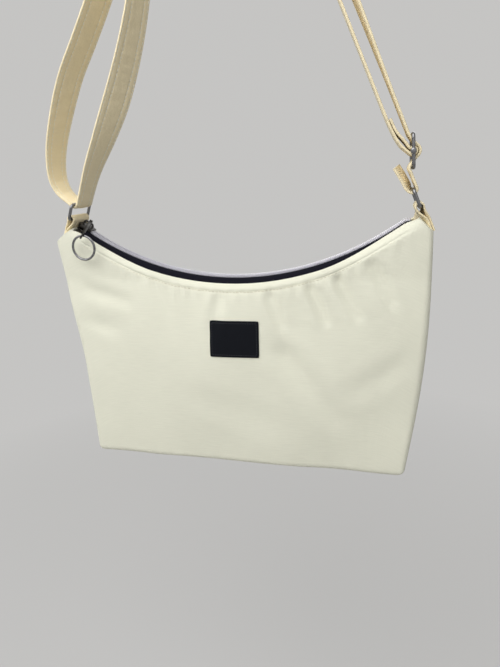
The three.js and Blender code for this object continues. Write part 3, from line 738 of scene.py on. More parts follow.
class Repeater:
    """Copies a small shape to places through a geometry node tree, then makes a plain mesh of it."""

    def __init__(self) -> None:
        """Builds the tree once."""
        tree = bpy.data.node_groups.new("copies_along_seam", "GeometryNodeTree")
        add = tree.interface.new_socket
        self.keys = {}
        kinds = {"Places": "Geometry", "Unit": "Object", "Size": "Vector", "Finish": "Material"}
        for name, kind in kinds.items():
            self.keys[name] = add(name=name, in_out="INPUT", socket_type=f"NodeSocket{kind}").identifier
        add(name="Copies", in_out="OUTPUT", socket_type="NodeSocketGeometry")
        nodes = tree.nodes
        entry = nodes.new("NodeGroupInput").outputs
        leave = nodes.new("NodeGroupOutput")
        turn = nodes.new("FunctionNodeAxesToRotation")
        turn.primary_axis = "X"
        turn.secondary_axis = "Z"
        source = nodes.new("GeometryNodeObjectInfo")
        copies = nodes.new("GeometryNodeInstanceOnPoints")
        real = nodes.new("GeometryNodeRealizeInstances")
        paint = nodes.new("GeometryNodeSetMaterial")
        for socket, name in zip(turn.inputs, ("run", "face")):
            way = nodes.new("GeometryNodeInputNamedAttribute")
            way.data_type = "FLOAT_VECTOR"
            way.inputs["Name"].default_value = name
            tree.links.new(way.outputs["Attribute"], socket)
        for start, end in (
            (entry["Unit"], source.inputs["Object"]),
            (entry["Places"], copies.inputs["Points"]),
            (source.outputs["Geometry"], copies.inputs["Instance"]),
            (turn.outputs[0], copies.inputs["Rotation"]),
            (entry["Size"], copies.inputs["Scale"]),
            (copies.outputs["Instances"], real.inputs["Geometry"]),
            (real.outputs["Geometry"], paint.inputs["Geometry"]),
            (entry["Finish"], paint.inputs["Material"]),
            (paint.outputs["Geometry"], leave.inputs["Copies"]),
        ):
            tree.links.new(start, end)
        self.tree = tree

    def copies(
        self, name: str, places: Places, unit: Object, size: Triple, finish: Material
    ) -> Object:
        """Makes one piece of all the copies.

        Args:
            name: The piece's name.
            places: Where the copies go.
            unit: The small shape, with its run along X and its top along Z.
            size: The scale of each copy along its own axes.
            finish: The copies' material.

        Returns:
            The finished piece.
        """
        mesh = bpy.data.meshes.new(name)
        mesh.from_pydata(places.points.tolist(), [], [])
        for key, value in (("run", places.run), ("face", places.face)):
            layer = mesh.attributes.new(key, "FLOAT_VECTOR", "POINT")
            layer.data.foreach_set("vector", np.asarray(value, np.float32).ravel())
        item = new_object(name, mesh)
        maker = item.modifiers.new("copies", "NODES")
        maker.node_group = self.tree
        for key, value in (("Unit", unit), ("Size", size), ("Finish", finish)):
            maker[self.keys[key]] = value
        return dressed(applied(item), finish, 60.0)


# A stitch as stations along it: place, half width and height, for a stitch 1 mm long
STITCH_STATIONS = (
    (-0.5, 0.2, -0.25),
    (-0.38, 0.42, 0.24),
    (0.0, 0.48, 0.38),
    (0.38, 0.42, 0.24),
    (0.5, 0.2, -0.25),
)
STITCH_FLATNESS = 0.84
STITCH_SINK = 0.2

# One turn of the zip's coil, seen along the zip, in millimetres
COIL_LOOP = [
    (-3.0, 0.4), (-2.9, 1.2), (-2.2, 1.75), (-1.2, 1.6), (0.0, 1.0),
    (0.6, 0.75), (0.4, 0.4), (-0.8, 0.3), (-2.2, 0.3),
]
COIL_WIRE = 0.36
COIL_LEG = 0.4
COIL_HEAD = 0.52
COIL_LEAN = 0.25


def stitch_unit() -> Object:
    """One stitch: a low bent pillow that dives into the cloth at both ends.

    Returns:
        The small shape.
    """
    turns = np.linspace(0, FULL_TURN, 6, endpoint=False)
    rings = []
    for x, half, high in STITCH_STATIONS:
        tall = STITCH_FLATNESS * half
        rings.append([(x, half * math.cos(a), high + tall * math.sin(a) - STITCH_SINK) for a in turns])
    return tube_object("stitch_unit", np.array(rings) * MM)


def coil_unit() -> Object:
    """One turn of the zip's coil: a bent loop of filament, its head towards +Y.

    Returns:
        The small shape.
    """
    line = spline(COIL_LOOP, 2)
    rings = []
    for i, (y, z) in enumerate(line):
        ahead = line[min(i + 1, len(line) - 1)] - line[max(i - 1, 0)]
        ahead = ahead / np.linalg.norm(ahead)
        wide = COIL_HEAD if 0.0 < y else COIL_LEG
        lean = COIL_LEAN * (i / (len(line) - 1) - 0.5)
        ring = []
        for a in np.linspace(0, FULL_TURN, 5, endpoint=False):
            lift = COIL_WIRE * math.cos(a)
            ring.append((lean + wide * math.sin(a), y - ahead[1] * lift, z + ahead[0] * lift))
        rings.append(ring)
    return tube_object("coil_unit", np.array(rings) * MM)


# Cloth of the bag


@dataclass(frozen=True)
class Fold:
    """A soft dent in the cloth, along a line on the panel, in millimetres."""

    start: Spot
    end: Spot
    depth: float
    width: float
    run_out: float = 1.2
    fade: float = 0.45
    lip: float = 0.45
    lip_reach: float = 1.6

    def push(self, x: Array, z: Array) -> Array:
        """How far the cloth is pushed in at each point, with a low lip on both sides.

        Args:
            x: Places across.
            z: Heights.

        Returns:
            The distance inward.
        """
        ax, az = self.start
        bx, bz = self.end
        length = math.hypot(bx - ax, bz - az)
        along = ((x - ax) * (bx - ax) + (z - az) * (bz - az)) / length
        across = ((x - ax) * (bz - az) - (z - az) * (bx - ax)) / length
        ends = np.clip(along / length, 0, 1)
        over = along - np.clip(along, 0, length)
        window = bell(over, 0.0, self.run_out * self.width) * (1 - self.fade * ends)
        lips = bell(np.abs(across), self.lip_reach * self.width, self.width)
        return self.depth * window * (bell(across, 0.0, self.width) - self.lip * lips)


@dataclass
class BagForm:
    """The bag's soft form, in millimetres above its base. A pair is a soft step's start and span."""

    top_width: float = 310.0
    base_width: float = 282.0
    base_depth: float = 62.0
    top_depth: float = 30.0
    corner_height: float = 201.5
    neck_height: float = 165.0
    belly: float = 4.0
    base_edge: float = 5.0
    edge_least: float = 3.5
    edge_extra: float = 2.5
    edge_height: float = 190.0
    shoulder: float = math.tan(math.radians(38))
    mouth_radius: float = 241.0
    mouth_centre: float = HANG_HEIGHT - 129.494863
    mouth_end: float = 145.2
    seam_groove: float = 1.1
    canvas: float = 1.5
    hem_depth: float = 9.6
    hem_lean: float = 2.6
    hem_cover: float = 3.4
    hem_swell: float = 0.55
    hem_middle: float = 3.0
    hem_reach: float = 2.6
    hem_groove: float = 0.45
    groove_below: float = 6.4
    groove_width: float = 0.8
    left_cover: float = 0.5
    cover_lean: float = 4.5
    cover_start: Spot = (72.0, 58.0)
    cover_stop: Spot = (134.0, 14.0)
    lean_end: float = 150.5
    lean_fade: float = 10.0
    corner_fall: float = 2.2
    left_fall: float = -2.0
    fall_span: float = 12.0
    left_flare: float = 3.4
    flare_edge: Spot = (118.0, 34.0)
    left_bulge: float = 3.8
    slack_up: Spot = (85.0, 65.0)
    slack_top: Spot = (196.0, 14.0)
    slack_edge: Spot = (132.0, 20.0)
    right_bulge: float = 6.4
    bulge_height: float = 206.0
    bulge_edge: Spot = (80.0, 70.0)
    fold_least: float = 0.12
    fold_start: Spot = (5.0, 9.0)
    wave: float = 0.55
    pucker: float = 0.42
    pucker_below: float = 9.0
    pucker_reach: float = 7.0
    cap_crown: float = 1.1
    front_folds: tuple[Fold, ...] = (
        Fold((62, 163), (76, 132), 3.3, 4.2),
        Fold((84, 168), (100, 136), 3.1, 4.2),
        Fold((110, 178), (124, 148), 2.6, 4.6),
        Fold((44, 101), (84, 50), 2.3, 9.6),
        Fold((-136, 156), (-100, 146), 1.4, 6.0),
        Fold((-142, 128), (-116, 122), 1.4, 7.0),
        Fold((-12, 152), (-20, 120), 1.2, 5.6),
        Fold((30, 154), (40, 128), 2.2, 5.0),
        Fold((-70, 166), (-60, 140), 1.2, 6.0),
        Fold((-30, 60), (35, 38), 0.7, 12.0),
        Fold((132, 96), (100, 74), 1.0, 9.0),
    )
    back_folds: tuple[Fold, ...] = (
        Fold((-80, 166), (-98, 122), 1.5, 7.0),
        Fold((-108, 176), (-122, 140), 1.2, 6.5),
        Fold((62, 164), (80, 120), 1.4, 7.0),
        Fold((104, 178), (120, 138), 1.2, 6.5),
        Fold((-40, 110), (10, 60), 1.6, 11.0),
        Fold((60, 90), (30, 50), 1.2, 10.0),
        Fold((136, 130), (104, 122), 1.2, 8.0),
        Fold((-138, 128), (-108, 116), 1.2, 8.0),
        Fold((0, 152), (6, 122), 0.8, 7.0),
    )

    def half_width(self, z: Array) -> Array:
        """Half the width at a height."""
        return self.base_width / 2 + (self.top_width - self.base_width) / 2 * z / self.corner_height

    def half_depth(self, z: Array) -> Array:
        """Half the depth at a height."""
        share = np.clip(z / self.neck_height, 0, 1)
        return self.base_depth / 2 + (self.top_depth - self.base_depth) / 2 * share

    def edge_radius(self, z: Array) -> Array:
        """How round the upright edges are: softest at mid height."""
        return self.edge_least + self.edge_extra * hump(z, self.edge_height)

    def shoulder_height(self, x: Array) -> Array:
        """The shoulder line, from the end of the zip down to the corner."""
        return self.corner_height + (self.top_width / 2 - np.abs(x)) * self.shoulder

    def mouth_height(self, x: Array, drop: float = 0.0) -> Array:
        """The mouth's hem, or a line a distance below it."""
        radius = self.mouth_radius + drop
        return self.mouth_centre - np.sqrt(np.maximum(radius**2 - x**2, 1.0))

    def top_height(self, x: Array, drop: float = 0.0) -> Array:
        """Where a panel ends above a point."""
        shoulder = self.shoulder_height(x) - drop
        return np.where(np.abs(x) < self.mouth_end, self.mouth_height(x, drop), shoulder)

    def flare(self, x: Array, z: Array) -> Array:
        """How far to the left a side lies: the strap draws the left one out, and the right one bulges.

        Args:
            x: Places across.
            z: Heights.

        Returns:
            The distance to the left.
        """
        left = self.left_flare * np.clip(z / self.corner_height, 0, 1.1) * rise(-x, *self.flare_edge)
        slack = self.left_bulge * rise(z, *self.slack_up) * (1 - 0.5 * rise(z, *self.slack_top))
        bulge = self.right_bulge * hump(z, self.bulge_height)
        return left + slack * rise(-x, *self.slack_edge) - bulge * rise(x, *self.bulge_edge)

    def corner_drop(self, x: Array, y: Array) -> Array:
        """How far the cloth beside a shoulder seam lies below the seam.

        Args:
            x: Places across.
            y: Places deep.

        Returns:
            The distance down.
        """
        outer = eased((np.abs(x) - self.mouth_end + 2.0) / self.fall_span)
        fall = np.where(x < 0, self.left_fall, self.corner_fall)
        return fall * outer * np.clip(np.abs(y) / (self.top_depth / 2), 0, 1) ** 1.5

    def cover(self, x: Array) -> Array:
        """The share of the hem's climb over the tape, which is full near the ends of the zip."""
        climb = rise(np.abs(x), *self.cover_start) * (1 - rise(np.abs(x), *self.cover_stop))
        return np.where(x < 0, self.left_cover, 1.0) * climb

    def lean(self, x: Array) -> Array:
        """How far the edge of the hem leans in over the tape."""
        fade = eased((self.lean_end - np.abs(x)) / self.lean_fade)
        return (self.hem_lean + self.cover_lean * self.cover(x)) * fade

    def seam_line(self, below: Array) -> Array:
        """How deep the hem's row of stitches draws the cloth in, by the distance below the edge."""
        return self.hem_groove * bell(below, self.groove_below, self.groove_width)

    def hem_inside(self, x: Array, z: Array, side: Side) -> Array:
        """How far from the middle of the bag the inner face of the hem lies.

        Args:
            x: Places across.
            z: Heights.
            side: Front or back.

        Returns:
            The distances.
        """
        below = np.clip(self.mouth_height(x) + self.hem_cover * self.cover(x) - z, 0, self.hem_depth)
        edge = self.half_depth(z) + self.swell(x, z, side, True) - self.canvas
        return edge - self.lean(x) * (1 - below / self.hem_depth) ** 2 - self.seam_line(below)

    def swell(self, x: Array, z: Array, side: Side, worn: bool) -> Array:
        """How far a face stands out of its flat form.

        Args:
            x: Places across.
            z: Heights.
            side: Front or back.
            worn: Whether folds and puckers are added.

        Returns:
            The distance outward.
        """
        reach = self.half_width(z) - self.edge_radius(z)
        share = np.clip(1 - (x / reach) ** 2, 0, 1)
        out = self.belly * hump(z, self.neck_height) * share
        if not worn:
            return out
        folds, phase = (self.front_folds, 0.0) if side is Side.FRONT else (self.back_folds, 1.7)
        below = np.maximum(self.mouth_height(x) - z, 0)
        full = self.fold_least + (1 - self.fold_least) * rise(below, *self.fold_start)
        for fold in folds:
            out = out - fold.push(x, z) * np.clip(share * 4, 0, 1) * full
        upright = np.sin(x / 31 + phase) * np.sin(z / 27 + 0.6 + phase)
        slanted = np.sin(x / 17 - z / 23 + phase)
        out = out + self.wave * (upright + 0.7 * slanted) * np.clip(share * 3, 0, 1)
        near = bell(below, self.pucker_below, self.pucker_reach)
        gathers = np.sin(x * 0.56 + 0.8 * np.sin(x * 0.13)) * near
        return out + self.pucker * gathers * np.clip(share * 5, 0, 1)

    def face_point(self, x: Array, z: Array, side: Side, out: Array | float = 0.0) -> Array:
        """Points on the front or back face.

        Args:
            x: Places across.
            z: Heights.
            side: Front or back.
            out: A distance off the cloth.

        Returns:
            Points in the bag's millimetres.
        """
        x = np.asarray(x, float)
        z = np.asarray(z, float)
        y = side.value * (self.half_depth(z) + self.swell(x, z, side, True) + out)
        return np.stack([x, y, z], axis=-1)

    def face_normal(self, x: Array, z: Array, side: Side) -> Array:
        """Outward directions on the front or back face.

        Args:
            x: Places across.
            z: Heights.
            side: Front or back.

        Returns:
            Directions of length 1.
        """
        step = 0.5
        across = self.face_point(x + step, z, side) - self.face_point(x - step, z, side)
        up = self.face_point(x, z + step, side) - self.face_point(x, z - step, side)
        out = np.cross(across, up) if side is Side.FRONT else np.cross(up, across)
        return out / np.linalg.norm(out, axis=-1, keepdims=True)

    def shoulder_cap(self, rim: Array, end: End) -> tuple[Array, Array]:
        """The small roof of cloth between a panel's top edge and the shoulder seam.

        Args:
            rim: The panel's top row of points.
            end: Left or right.

        Returns:
            Rows of points in the bag's millimetres, and their UV in metres.
        """
        edge = rim[rim[:, 0] * end.value >= self.mouth_end]
        if end is End.RIGHT:
            edge = edge[::-1]
        lengths = lengths_along(edge)
        share = lengths / lengths[-1]
        inner_height = float(self.shoulder_height(np.array(self.mouth_end)))
        seam = np.zeros_like(edge)
        seam[:, 0] = edge[0, 0] + (end.value * self.mouth_end - edge[0, 0]) * share
        seam[:, 2] = edge[0, 2] + (inner_height - edge[0, 2]) * share
        up = np.linspace(0, 1, 8)[:, None, None]
        points = edge + (seam - edge) * up
        deep = np.abs(edge[:, 1])
        points[..., 2] += self.cap_crown * np.sin(np.pi * up[..., 0]) * deep / (self.top_depth / 2)
        points[..., 2] -= self.seam_groove * bell(points[..., 1], 0.0, 1.5) * (deep > 0.1)
        return points, points[..., :2] * MM


class Strip(Enum):
    """The strips of a half shell's columns, from its left seam to its right one."""

    LEFT_FLANK = 0
    LEFT_BEND = 1
    FACE = 2
    RIGHT_BEND = 3
    RIGHT_FLANK = 4


@dataclass
class HalfShell:
    """One half of the bag as rows of points, from the middle of its base up to the mouth."""

    form: BagForm
    side: Side
    inset: float
    drop: float
    worn: bool
    face_steps: int
    wall_steps: int
    flank_steps: int = 8
    bend_steps: int = 7
    floor_steps: int = 7
    foot_steps: int = 5
    least_bend: float = 1.5
    side_dent: float = 5.0
    dent_height: float = 200.0
    groove_width: float = 1.6
    ripple: float = 0.9
    end_fade: float = 12.0
    first_top: float = 180.0
    hem_rows: tuple[float, ...] = (8.6, 7.6, 6.9, 6.3, 5.6, 4.6, 3.2, 1.6, 0.5, 0.0)

    def __post_init__(self) -> None:
        """Lays out the columns: flank, bend, face, bend and flank again."""
        flank = np.linspace(0, 1, self.flank_steps + 1)
        bend = np.linspace(0, 1, self.bend_steps + 1)[1:]
        face = np.linspace(-1, 1, self.face_steps + 1)[1:]
        strips = (flank, bend, face, bend, flank[1:])
        self.share = np.concatenate(strips)
        self.strip = np.concatenate([np.full(len(part), kind.value) for part, kind in zip(strips, Strip)])
        self.face = self.strip == Strip.FACE.value
        self.bend = np.isin(self.strip, (Strip.LEFT_BEND.value, Strip.RIGHT_BEND.value))
        self.level = np.zeros(len(self.share))

    def section(self, z: Array, pull: Array) -> tuple[Array, Array]:
        """Where every column lies at its own height.

        Args:
            z: Heights.
            pull: How far inside the wall each column is drawn, at the rounded foot.

        Returns:
            The columns' x, and their y towards this side's face.
        """
        form, share = self.form, self.share
        a = form.half_width(z) - self.inset - pull
        b = form.half_depth(z) - self.inset - pull
        r = np.maximum(np.minimum(form.edge_radius(z) - self.inset, b - 1), self.least_bend)
        angle = share * math.pi / 2
        sign = np.where(self.strip < Strip.FACE.value, -1.0, 1.0)
        turn = np.where(self.strip == Strip.RIGHT_BEND.value, math.pi / 2 - angle, angle)
        run = np.where(self.strip == Strip.RIGHT_FLANK.value, 1 - share, share)
        y = np.select([self.face, self.bend], [b, b - r + r * np.sin(turn)], run * (b - r))
        middle = np.clip(1 - (y / np.maximum(b - r, 1)) ** 2, 0, 1)
        dent = self.side_dent * hump(z, self.dent_height) * middle
        groove = form.seam_groove * bell(y, 0.0, self.groove_width) if self.worn else 0.0
        x = np.select(
            [self.face, self.bend],
            [share * (a - r), sign * (a - r + r * np.cos(turn))],
            sign * (a - dent - groove),
        )
        out = form.swell(x, z, self.side, True)
        if not self.worn:
            out = np.minimum(out, form.swell(x, z, self.side, False))
        return x - form.flare(x, z), y + np.where(self.face, out, 0.0)

    def foot(self) -> list[Array]:
        """Rows round the lower edge, from the base up to the wall.

        Returns:
            The rows of points.
        """
        edge = self.form.base_edge
        rows = []
        for angle in np.linspace(0, math.pi / 2, self.foot_steps + 1):
            z = np.full(self.share.shape, edge * (1 - math.cos(angle)))
            x, y = self.section(z, np.full(self.share.shape, edge * (1 - math.sin(angle))))
            wave = self.ripple * np.sin(x / 21 + 0.6) * np.sin(x / 53) if self.worn else 0.0
            deep = y + 0.6 * wave * math.cos(angle)
            rows.append(np.stack([x, deep, z + self.inset + 0.5 * np.abs(wave)], axis=1))
        return rows

    def floor(self, foot: Array) -> list[Array]:
        """Rows of the base, from its middle seam out to the foot.

        Args:
            foot: The first row of the foot.

        Returns:
            The rows of points.
        """
        reach = self.form.half_width(np.zeros(1))[0] - self.form.base_depth / 2
        spine = np.stack([np.clip(foot[:, 0], -reach, reach), self.level, foot[:, 2]], axis=1)
        rows = [spine + (foot - spine) * g for g in np.linspace(0, 1, self.floor_steps + 1)[:-1]]
        if self.worn:
            rows[0][:, 2] += self.form.seam_groove
        return rows

    def top(self) -> Array:
        """The height at which each column ends, found by going back and forth.

        Returns:
            The heights.
        """
        form = self.form
        top = np.full(self.share.shape, self.first_top)
        for _ in range(12):
            x, y = self.section(top, self.level)
            top = form.top_height(x, self.drop) - form.corner_drop(x, y)
            if self.worn:
                top = top + form.hem_cover * form.cover(x)
        return top

    def wall(self) -> list[Array]:
        """Rows from the foot up to the mouth's edge, close together over the hem.

        Returns:
            The rows of points.
        """
        form, inset, edge = self.form, self.inset, self.form.base_edge
        top = self.top()
        rows = []
        for step in range(1, self.wall_steps + 1):
            z = edge + inset + (top - form.hem_depth - edge - inset) * step / self.wall_steps
            x, y = self.section(z, self.level)
            rows.append(np.stack([x, y, z], axis=1))
        for below in self.hem_rows:
            z = top - below
            x, y = self.section(z, self.level)
            if self.worn:
                roll = math.exp(-(((below - form.hem_middle) / form.hem_reach) ** 4))
                thick = form.hem_swell * roll - form.seam_line(below)
                ends = eased((form.mouth_end - np.abs(x)) / self.end_fade)
                lean = form.lean(x) * (1 - below / form.hem_depth) ** 2
                y = y + np.where(self.face, ends * thick - lean, 0.0)
            rows.append(np.stack([x, y, z], axis=1))
        return rows

    def rows(self) -> tuple[Array, Array]:
        """The whole half, between the side seams.

        Returns:
            Rows of points in the bag's millimetres, and their UV in metres.
        """
        foot = self.foot()
        points = np.array(self.floor(foot[0]) + foot + self.wall())
        points[..., 1] *= self.side.value
        gaps = np.linalg.norm(np.diff(points, axis=0), axis=2)
        up = np.concatenate([[self.level], np.cumsum(gaps, axis=0)])
        across = lengths_along(points[self.floor_steps + self.foot_steps + self.wall_steps // 2])
        return points, np.stack([np.broadcast_to(across, up.shape), up], axis=2) * MM


def fix_lip(item: Object, slot: str, nodes: tuple[str, ...], **cloth: object) -> None:
    """Cuts a back piece in two halves, bakes each in place and hides the solids that it stands for.

    Args:
        item: The whole piece.
        slot: Not used.
        nodes: The solids that it stands for.
        cloth: Not used.
    """
    for half, end in zip(halves(item), End):
        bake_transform(half)
        for node in nodes:
            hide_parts(node)
        LOG.info("%s bends between the bag and its back lip", half.name)


def fix(item: Object, body: str, slot: str, *nodes: str) -> Object:
    """Makes a piece ride on a body and hides the solids that it stands for.

    Args:
        item: The piece.
        body: The body that carries it.
        slot: Not used.
        nodes: The solids that it stands for.

    Returns:
        The same piece.
    """
    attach(item, body)
    if nodes:
        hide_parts(*nodes)
    LOG.info("%s rides on %s", item.name, body)
    return item


@dataclass
class BagBody:
    """The sewn bag: canvas panels, lining, label and hem stitches."""

    form: BagForm
    finishes: Finishes
    repeater: Repeater
    stitch: Object
    panel_height: float = 250.0
    lining: float = 0.8
    lining_inset: float = 2.5
    lining_drop: float = 5.0
    hem_stitch: float = 6.6
    hem_stitch_size: Triple = (2.5, 0.6, 0.55)
    hem_end: float = 8.0
    stitch_pitch: float = 3.1
    label_width: float = 43.0
    label_height: float = 31.0
    label_centre: float = 115.0
    label_cloth: float = 0.8
    label_lift: float = 0.95
    label_edge: float = 0.45
    label_groove: float = 0.22
    border: float = 2.0
    border_lift: float = 0.75
    border_stitch_size: Triple = (1.5, 0.45, 0.4)

    def panel(self, side: Side) -> Object:
        """One canvas half, with its shoulder caps.

        Args:
            side: Front or back.

        Returns:
            The dressed piece.
        """
        points, uv = HalfShell(self.form, side, 0.0, 0.0, True, 120, 84).rows()
        items = [grid_object(f"{side.word}_canvas", row_frame(points), uv, side is Side.BACK)]
        for end in End:
            roof, roof_uv = self.form.shoulder_cap(points[-1], end)
            items.append(grid_object("cap", row_frame(roof), roof_uv, False))
        whole = items[0]
        with bpy.context.temp_override(active_object=whole, object=whole, selected_editable_objects=items):
            bpy.ops.object.join()
        with edited(whole.data) as build:
            bmesh.ops.remove_doubles(build, verts=build.verts, dist=WELD)
            bmesh.ops.recalc_face_normals(build, faces=build.faces)
        return dressed(thickened(whole, self.form.canvas), self.finishes.canvas, 55.0)

    def inside(self, side: Side) -> Object:
        """One lining half.

        Args:
            side: Front or back.

        Returns:
            The dressed piece.
        """
        shell = HalfShell(self.form, side, self.lining_inset, self.lining_drop, False, 48, 24)
        points, uv = shell.rows()
        item = grid_object(f"{side.word}_cotton", row_frame(points), uv, side is Side.BACK)
        return dressed(thickened(item, self.lining), self.finishes.lining, 60.0)

    def hem_stitches(self, side: Side) -> Object:
        """The row of stitches below the mouth.

        Args:
            side: Front or back.

        Returns:
            The stitches.
        """
        form, reach = self.form, self.form.mouth_end - self.hem_end
        x = np.linspace(-reach, reach, 400)
        z = form.mouth_height(x, self.hem_stitch) + form.hem_cover * form.cover(x)
        line = row_frame(form.face_point(x, z, side, -0.1 * form.lean(x)))
        places = Places.along(line, form.face_normal(x, z, side), self.stitch_pitch)
        name, thread = f"{side.word}_hem_stitches", self.finishes.hem_thread
        return self.repeater.copies(name, places, self.stitch, self.hem_stitch_size, thread)

    def label(self) -> Object:
        """The bare woven label, with a low edge and a groove under its stitches.

        Returns:
            The dressed piece.
        """
        form, half_w, half_h = self.form, self.label_width / 2, self.label_height / 2
        u, v = np.meshgrid(np.linspace(-1, 1, 45), np.linspace(-1, 1, 33))
        corner = 1.0 - 0.018 * (np.abs(u) ** 14) * (np.abs(v) ** 14)
        x = u * half_w * corner
        z = self.label_centre + v * half_h * corner
        edge = np.minimum((1 - np.abs(u)) * half_w, (1 - np.abs(v)) * half_h)
        low = self.label_edge * bell(edge, 0.0, 0.5)
        raised = self.label_lift - low - self.label_groove * bell(edge, self.border, 0.55)
        points = form.face_point(x, z, Side.FRONT)
        points = points + form.face_normal(x, z, Side.FRONT) * raised[..., None]
        patch = grid_object("label", row_frame(points), np.stack([x, z], axis=2) * MM, False)
        return dressed(thickened(patch, self.label_cloth), self.finishes.label, 60.0)

    def label_border(self) -> Object:
        """The stitches round the label.

        Returns:
            The stitches.
        """
        form = self.form
        w, h = self.label_width / 2 - self.border, self.label_height / 2 - self.border
        ring = [(-w, -h), (w, -h), (w, h), (-w, h), (-w, -h)]
        share = np.linspace(0, 1, 30)
        rows = []
        for (ax, az), (bx, bz) in zip(ring, ring[1:]):
            x = ax + (bx - ax) * share
            z = self.label_centre + az + (bz - az) * share
            line = row_frame(form.face_point(x, z, Side.FRONT, self.border_lift))
            rows.append(Places.along(line, form.face_normal(x, z, Side.FRONT), 2.0))
        places, thread = Places.gathered(rows), self.finishes.black_thread
        return self.repeater.copies("label_stitches", places, self.stitch, self.border_stitch_size, thread)

    def build(self) -> None:
        """Makes the sewn bag and fastens it to its bodies."""
        front = fix(self.panel(Side.FRONT), "bag", "canvas", "front_panel")
        seams = fix(self.hem_stitches(Side.FRONT), "bag", "canvas")
        inner = fix(self.inside(Side.FRONT), "bag", "lining", "front_lining")
        patch, border = self.label(), self.label_border()
        fix(patch, "bag", "label", "label_patch")
        fix(border, "bag", "label")
        canvas = {"flat": (0.185, 0.23), "held": "stretched", "rests_on": ["back_lining"]}
        fix_lip(self.panel(Side.BACK), "canvas", ("back_panel", "back_hem"), **canvas)
        cotton = {"flat": (0.18, 0.22), "held": "hung", "rests_on": ["zip_tape_back"]}
        fix_lip(self.inside(Side.BACK), "lining", ("back_lining",), **cotton)
        fix_lip(self.hem_stitches(Side.BACK), "canvas", ())


# Zip


